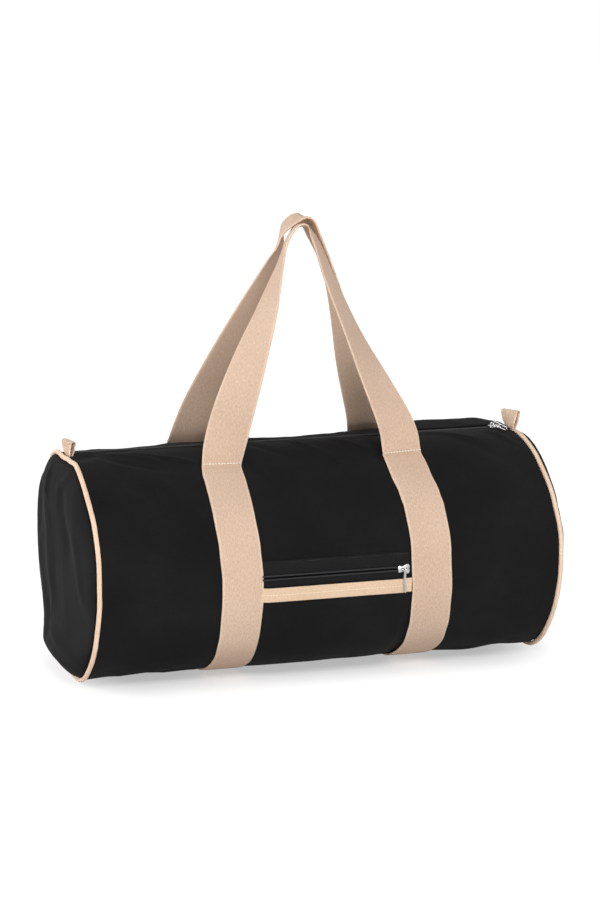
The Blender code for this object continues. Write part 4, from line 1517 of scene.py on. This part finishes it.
# %% Zip sliders
def make_slider(name, to_bag, at_x):
    mesh = bmesh.new()
    plate(mesh, slider_outline(0.0), TOP_PLATE_LOW, PLATE, PLATE_EDGE)
    plate(mesh, slider_outline(UNDERSIDE_INSET), -FIT - PLATE, PLATE, PLATE_EDGE)
    for side in (-1, 1):
        rim = [(x, side * abs(across)) for x, across in slider_outline(0.0)[1:11]]
        inner = [(x, across - side * SIDE_WALL) for x, across in reversed(rim)]
        plate(mesh, rim + inner, COIL_BACK, TOP_PLATE_LOW - COIL_BACK + BITE, SIDE_EDGE)
    plate(mesh, WEB_OUTLINE, -FIT - BITE, TOP_PLATE_LOW + FIT + 2 * BITE, WEB_EDGE)
    top, reach = TOP_PLATE_LOW + PLATE, BAIL_AXIS
    half = [(-x, top + z) for x, z in BAIL_LEG] + [(-x, reach + z) for x, z in BAIL_TOP]
    arch = half + [(0.0, reach)] + [(-x, z) for x, z in reversed(half)]
    smooth = [through(arch, i / BAIL_STEPS) for i in range(BAIL_STEPS + 1)]
    wire(mesh, [Vector((x, 0.0, z)) for x, z in smooth], BAIL_RADIUS)
    turns = [2 * math.pi * i / FOOT_POINTS for i in range(FOOT_POINTS)]
    for x in (-BAIL_HALF, BAIL_HALF):
        foot = [(x + FOOT_LONG * math.cos(turn), FOOT_WIDE * math.sin(turn)) for turn in turns]
        plate(mesh, foot, top - FOOT_EDGE, FOOT_THICK, FOOT_EDGE)
    for vert in mesh.verts:
        vert.co = to_bag(at_x + vert.co.x, vert.co.y, vert.co.z)
    return made(name + "_nickel", mesh, NICKEL, name, name, slot="nickel", smooth=SLIDER_SMOOTH_DEG)


MAIN_SLIDER_X = 0.204
POCKET_SLIDER_X = 0.0662
print("sliders at", MAIN_SLIDER_X, "and", POCKET_SLIDER_X)

# %% [markdown]
# ## The rings
# Each slider is pulled by a long closed ring of wire, with round ends and straight sides. It is made
# round the origin, where it hangs on the bail, and is then turned and moved: forward along the top of
# the bag on the main zip, and straight down on the pocket.

# %% Rings
MAIN_RING_DROOP_DEG = 7.0
MAIN_RING_YAW_DEG = 13.0
RING_SIDES = 12


def make_ring(name, turned):
    """A long ring of wire that hangs from the bail; its own -Y points down its length."""
    far = RING_LENGTH - 2 * WIRE_RADIUS - 2 * RING_HALF
    path = []
    for middle, start in ((0.0, 0.0), (far, math.pi)):
        for step in range(RING_STEPS + 1):
            turn = start + math.pi * step / RING_STEPS
            path.append(Vector((0.0, -middle + RING_HALF * math.sin(turn), RING_HALF * math.cos(turn))))
    full = []
    for i, point in enumerate(path):
        after = path[(i + 1) % len(path)]
        steps = LEG_STEPS if (after - point).length > LONG_LEG else 1
        full += [point.lerp(after, step / steps) for step in range(steps)]
    mesh = bmesh.new()
    wire(mesh, full, WIRE_RADIUS, closed=True, sides=RING_SIDES)
    bmesh.ops.transform(mesh, verts=mesh.verts, matrix=turned)
    return made(name + "_ring", mesh, NICKEL, name, name, slot="nickel")


make_slider("main_slider", main_zip_place, MAIN_SLIDER_X)
main_bail = Matrix.Translation((MAIN_SLIDER_X, 0.0, MAIN_TAPE_Z + BAIL_AXIS))
droop = Matrix.Rotation(math.radians(MAIN_RING_DROOP_DEG), 4, "X")
yaw = Matrix.Rotation(math.radians(MAIN_RING_YAW_DEG), 4, "Z")
make_ring("main_puller", main_bail @ droop @ yaw)
make_slider("pocket_slider", pocket_zip_place, POCKET_SLIDER_X)
pocket_bail = Matrix.Translation(pocket_zip_place(POCKET_SLIDER_X, 0.0, BAIL_AXIS))
make_ring("pocket_puller", pocket_bail @ Matrix.Rotation(math.pi / 2, 4, "X"))
print("the rings are", RING_LENGTH / MILLI, "mm long")

# %% [markdown]
# ## The front pocket
# The pocket is a patch of canvas under the zip. Its top edge is turned under and covered by a natural
# ribbon with a row of stitches along its middle. The patch is cut a little longer than the barrel's
# side, so it stands off and makes soft dents.

# %% Front pocket
POCKET_EDGE_DROP = 0.0086
TRIM_DROP = 0.0094
TRIM_WIDTH = 0.0139
TRIM_THICKNESS = 0.0007
PATCH_OFFSET = POCKET_TAPE_OFFSET + TAPE_THICKNESS + FIT
POCKET_BULGE = 0.0046
# The patch runs straight for this far below its edge before it stands off
PATCH_STRAIGHT = 0.016
PATCH_CLEAR = 0.0006
PATCH_DENT = 0.0012
PATCH_DRAG = 0.0004
# The face of the patch, out from its lift
PATCH_FACE = 0.001
PATCH_UNDER_STRAP = 0.002
PATCH_GRID = (90, 84)
TRIM_HALF_LENGTH = 0.0752
TRIM_ROWS = 80
TRIM_RIPPLE = 0.0002
TRIM_STITCHES = 50
THREAD_LONG = 0.0022
TRIM_THREAD_THICK = 0.0005
PATCH_START = round_at_height(POCKET_ZIP_Z - POCKET_EDGE_DROP)
PATCH_DEEP = PATCH_FOOT - PATCH_START
PATCH_HALF = STRAP_X - WEBBING_WIDTH / 2 + PATCH_UNDER_STRAP


def patch_lift(x, round_it):
    """How far the patch stands off the barrel's even section."""
    down = kept((round_it - PATCH_START - PATCH_STRAIGHT) / (PATCH_DEEP - PATCH_STRAIGHT))
    across = min(1.0, abs(x) / POCKET_HALF_LENGTH)
    lift = (PATCH_OFFSET + (PATCH_CLEAR - PATCH_OFFSET) * down) * (1.0 - 0.8 * edge_dip(x))
    lift += POCKET_BULGE * math.sin(math.pi * down ** 0.8) * (1 - across ** 4)
    free = min(1.0, down * 3.0) * (1 - across ** 6)
    dent = PATCH_DENT * wobble(x / 0.05, round_it / 0.05, 31.0)
    drag = PATCH_DRAG * wobble(x / 0.018, round_it / 0.09, 33.0)
    return max(PATCH_CLEAR, lift + (dent + drag) * free)


def on_patch(x, round_it, lift=0.0):
    y, z, out_y, out_z = on_section(round_it)
    rise = patch_lift(x, round_it) + swell(x, round_it) + lift
    return Vector((x, y + out_y * rise, z + out_z * rise))


def make_patch():
    mesh = flat_cut(*PATCH_GRID)

    def flat(u, v):
        return (u - 0.5) * 2 * PATCH_HALF, PATCH_START + v * PATCH_DEEP

    carry(mesh, flat, lambda u, v: on_patch(*flat(u, v), PATCH_FACE))
    patch = made(
        "pocket_canvas", mesh, BLACK_CANVAS, "bag", "pocket_panel", slot="canvas_black", outward=False
    )
    facing_out(patch, FORWARD)


def make_trim():
    middle_round = round_at_height(POCKET_ZIP_Z - TRIM_DROP) + TRIM_WIDTH / 2
    length = 2 * TRIM_HALF_LENGTH
    out = Vector((0.0, *on_section(middle_round)[2:]))

    def path(v):
        x = (v - 0.5) * length
        ripple = TRIM_RIPPLE * wobble(x / 0.02, 41.0, 0.0)
        middle = on_patch(x, middle_round, PATCH_FACE + FIT / 2 + TRIM_THICKNESS / 2 + ripple)
        return middle, out.cross(Vector((-1, 0, 0))), out, 1.0

    trim = band(
        "pocket_trim_ribbon", TRIM_RIBBON, "bag", ("pocket_trim",), "webbing_natural",
        TRIM_ROWS, length, TRIM_WIDTH, TRIM_THICKNESS, path,
    )
    shares = [(i + 0.5) / TRIM_STITCHES for i in range(TRIM_STITCHES)]
    row = [path(share)[0] + out * (TRIM_THICKNESS / 2) for share in shares]
    outs = [out] * len(row)
    stitch_row(
        "trim_stitches", CREAM_THREAD, row, outs, THREAD_LONG, TRIM_THREAD_THICK, "webbing_natural"
    )
    return trim


make_patch()
print(make_trim().name, round(2 * TRIM_HALF_LENGTH, 4), "m long")

# %% [markdown]
# ## Rows of stitches
# Cream thread crosses the webbing where each handle is sewn on. Black thread runs beside the zip, a
# little in from the folded edge, beside the end seams and above the pocket zip.

# %% Rows of stitches
HANDLE_STITCHES = 13
STITCH_SLANT = 0.0018
STITCH_BELOW = 0.0012
STITCHED_SHARE = 0.88
CREAM_LONG = 0.0024
CREAM_THICK = 0.0012
BLACK_PITCH = 0.0032
BLACK_LONG_SHARE = 0.72
BLACK_THICK = 0.00045
MOUTH_STITCH_INSET = 0.0028
MOUTH_STITCH_HALF = 0.219
SEAM_STITCH_INSET = 0.0030
SEAM_STITCH_START = 0.016
ZIP_STITCH_INSET = 0.0012
ZIP_STITCH_HALF = 0.071
ZIP_STITCH_PITCH = 0.003


def handle_stitches(name, side, face):
    """A row across the webbing, a little lower at its inner end."""
    row, outs = [], []
    for i in range(HANDLE_STITCHES):
        share = i / (HANDLE_STITCHES - 1) - 0.5
        round_it = past_stitches(face, STITCH_BELOW - side * STITCH_SLANT * share)
        middle, out = strap_middle(side, round_it, 2 * WEBBING_THICKNESS + HANDLE_PROUD)
        row.append(middle + Vector((share * WEBBING_WIDTH * STITCHED_SHARE, 0.0, 0.0)))
        outs.append(out)
    stitch_row(name, CREAM_THREAD, row, outs, CREAM_LONG, CREAM_THICK, "webbing_natural")


def black_stitches(name, row, outs, long):
    stitch_row(name, BLACK_THREAD, row, outs, long, BLACK_THICK, "canvas_black")


def canvas_stitches(name, x_start, x_end, round_start, round_end):
    """A row of black thread on the canvas between two places, left out where a strap covers it."""
    span = max(abs(x_end - x_start), abs(round_end - round_start))
    count = round(span / BLACK_PITCH)
    row, outs = [], []
    for i in range(count):
        share = (i + 0.5) / count
        x = x_start + (x_end - x_start) * share
        round_it = round_start + (round_end - round_start) * share
        if abs(abs(x) - STRAP_X) < WEBBING_WIDTH / 2 and STRAP_START < round_it < GIRTH - STRAP_START:
            continue
        row.append(on_bag(x, round_it, 0.0, True))
        outs.append(Vector((0.0, *on_section(round_it)[2:])))
    black_stitches(name, row, outs, BLACK_PITCH * BLACK_LONG_SHARE)


def pocket_zip_stitches():
    count = math.floor(2 * ZIP_STITCH_HALF / ZIP_STITCH_PITCH) + 1
    on_tape = FIT + TAPE_THICKNESS - POCKET_TAPE_OFFSET
    places = [i * ZIP_STITCH_PITCH - ZIP_STITCH_HALF for i in range(count)]
    row = [pocket_zip_place(x, TAPE_WIDTH - ZIP_STITCH_INSET, on_tape) for x in places]
    black_stitches("pocket_zip_stitches", row, [FORWARD] * count, THREAD_LONG)


for face, face_name in FACES:
    for side, name in SIDES:
        handle_stitches("handle_stitches_" + face_name + "_" + name, side, face)
edge = MOUTH_HALF + MOUTH_STITCH_INSET
for name, round_it in (("front", edge), ("back", GIRTH - edge)):
    canvas_stitches("mouth_stitches_" + name, -MOUTH_STITCH_HALF, MOUTH_STITCH_HALF, round_it, round_it)
for side, name in SIDES:
    x = side * (HALF_FREE - SEAM_STITCH_INSET)
    canvas_stitches("seam_stitches_" + name, x, x, SEAM_STITCH_START, GIRTH - SEAM_STITCH_START)
pocket_zip_stitches()

# %% [markdown]
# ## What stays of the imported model
# The binding tapes inside the bag keep their solid shape and only get their finish.

# %% Inside the bag
for name in ("seam_binding_left", "seam_binding_right"):
    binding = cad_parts[name]
    binding.data.materials.clear()
    binding.data.materials.append(BINDING_TAPE)
print("binding tape inside each end seam")

# %% [markdown]
# ## Floor, light and camera
# The photograph is a studio shot on white. One soft light stands in front and above, a long low one
# lights the lower front, one stands behind on the left, a weak one hangs over the bag, and the shadow
# is soft and close. The floor and the sky are white to the camera and to the metal, and the lamps
# stay at a plain level.

# %% Floor and light
def white_to_the_eye(recipe):
    """1 where the camera or a shiny or clear surface looks, and 0 for the light itself."""
    rays = ("Is Camera Ray", "Is Glossy Ray", "Is Transmission Ray")
    seen, shiny, clear = (recipe.node("ShaderNodeLightPath", {}, [], ray) for ray in rays)
    return seen.sum_with("MAXIMUM", shiny).sum_with("MAXIMUM", clear)


WHITE = (1.0, 1.0, 1.0, 1.0)
PAPER = (0.92, 0.92, 0.92, 1.0)
FLOOR_HALF = 6.0
SKY_LIGHT = 0.30
FLOOR_GLOW = 0.40
FLOOR_BRIGHT = 1.10
# Half the size of the place under the bag where the shadow is whole; past it the shadow fades
SHADOW_CORE = (0.16, 0.02, 1.0)
SHADOW_START = 0.02
SHADOW_END = 0.13


def make_floor():
    """White paper that keeps a soft shadow near the bag and is plain white further off."""
    mesh = bmesh.new()
    bmesh.ops.create_grid(mesh, x_segments=2, y_segments=2, size=FLOOR_HALF)
    data = bpy.data.meshes.new("floor")
    mesh.to_mesh(data)
    mesh.free()
    floor = bpy.data.objects.new("floor", data)
    bpy.context.scene.collection.objects.link(floor)
    paper = Recipe("white_paper")
    paper.tree.nodes.clear()
    matt = paper.node("ShaderNodeBsdfDiffuse", {}, {"Color": PAPER})
    glow = paper.node("ShaderNodeEmission", {}, {"Strength": FLOOR_BRIGHT})

    def arrow(operation, *values, output=0):
        return paper.node("ShaderNodeVectorMath", {"operation": operation}, values, output)

    past = arrow("SUBTRACT", arrow("ABSOLUTE", paper.place()), SHADOW_CORE)
    far = arrow("LENGTH", arrow("MAXIMUM", past, (0.0, 0.0, 0.0)), output="Value")
    fade = FLOOR_GLOW + (1.0 - FLOOR_GLOW) * far.over(SHADOW_START, SHADOW_END)
    share = fade * white_to_the_eye(paper)
    mixed = paper.node("ShaderNodeMixShader", {}, [share, matt, glow])
    paper.node("ShaderNodeOutputMaterial", {}, {"Surface": mixed})
    data.materials.append(paper.material)
    floor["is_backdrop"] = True


def make_sky():
    world = bpy.data.worlds.new("studio")
    bpy.context.scene.world = world
    world.use_nodes = True
    world.node_tree.nodes.clear()
    sky = Recipe.on(world.node_tree)
    dim = sky.node("ShaderNodeBackground", {}, {"Color": WHITE, "Strength": SKY_LIGHT})
    bright = sky.node("ShaderNodeBackground", {}, {"Color": WHITE, "Strength": 1.0})
    mixed = sky.node("ShaderNodeMixShader", {}, [white_to_the_eye(sky), dim, bright])
    sky.node("ShaderNodeOutputWorld", {}, {"Surface": mixed})


def softbox(name, place, aim, wide, tall, watts):
    lamp = bpy.data.lights.new(name, "AREA")
    lamp.shape = "RECTANGLE"
    lamp.size = wide
    lamp.size_y = tall
    lamp.energy = watts
    box = bpy.data.objects.new(name, lamp)
    box.location = place
    box.rotation_euler = (Vector(aim) - Vector(place)).to_track_quat("-Z", "Y").to_euler()
    bpy.context.scene.collection.objects.link(box)


make_floor()
make_sky()
softbox("front_softbox", (-0.35, -2.3, 1.9), (0.0, 0.0, 0.15), 0.8, 0.8, 35.0)
softbox("left_softbox", (-2.1, 1.2, 0.8), (0.0, 0.0, 0.15), 0.8, 0.9, 38.0)
softbox("low_softbox", (-0.3, -3.4, 0.18), (0.0, 0.0, 0.1), 2.4, 0.4, 42.0)
softbox("top_softbox", (0.2, 0.1, 2.6), (0.0, 0.0, 0.1), 1.2, 1.0, 14.0)
bpy.context.scene.view_settings.view_transform = "Standard"
print("lamps:", len(bpy.data.lights))

# %% [markdown]
# ## The camera
# The camera stands to the left of the bag's front and looks a little down on it. The bag stands low
# in the picture, so a named point of it is turned to a named pixel.

# %% Camera
CAMERA_YAW_DEG = 17.477
CAMERA_HEIGHT_DEG = 13.007
CAMERA_DISTANCE = 3.350
FOCAL_PIXELS = 3442.0
PICTURE_PIXELS = (600.0, 900.0)
AIM = Vector((0.0, 0.0, 0.1087))
AIM_PIXEL = (296.2, 546.4)
SENSOR_MM = 36.0
CLIP_START = 0.01
CLIP_END = 50.0


def make_camera():
    yaw, height = math.radians(CAMERA_YAW_DEG), math.radians(CAMERA_HEIGHT_DEG)
    back = Vector((-math.sin(yaw) * math.cos(height), -math.cos(yaw) * math.cos(height), math.sin(height)))
    right = Vector((math.cos(yaw), -math.sin(yaw), 0.0))
    turned = Matrix((right, back.cross(right), back)).transposed()
    swing, tip = (
        math.atan((aim - whole / 2) / FOCAL_PIXELS) for aim, whole in zip(AIM_PIXEL, PICTURE_PIXELS)
    )
    turned = turned @ Matrix.Rotation(tip, 3, "X") @ Matrix.Rotation(swing, 3, "Y")
    lens = bpy.data.cameras.new("camera")
    lens.sensor_width = SENSOR_MM
    lens.sensor_fit = "AUTO"
    lens.lens = FOCAL_PIXELS * SENSOR_MM / PICTURE_PIXELS[1]
    lens.clip_start = CLIP_START
    lens.clip_end = CLIP_END
    camera = bpy.data.objects.new("camera", lens)
    camera.matrix_world = Matrix.Translation(AIM + back * CAMERA_DISTANCE) @ turned.to_4x4()
    bpy.context.scene.collection.objects.link(camera)
    bpy.context.scene.camera = camera
    return camera


print("camera at", [round(part, 3) for part in make_camera().matrix_world.translation])

# %% [markdown]
# ## The size
# The box of the dressed bag is measured and printed; soft cloth may stand proud of the imported model's
# box.

# %% Size and finish
dressed_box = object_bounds()
named_boxes = (("solid", solid_box), ("dressed", dressed_box))
boxes = {name: [list(corner) for corner in box] for name, box in named_boxes}
print("dressed box:", boxes["dressed"])
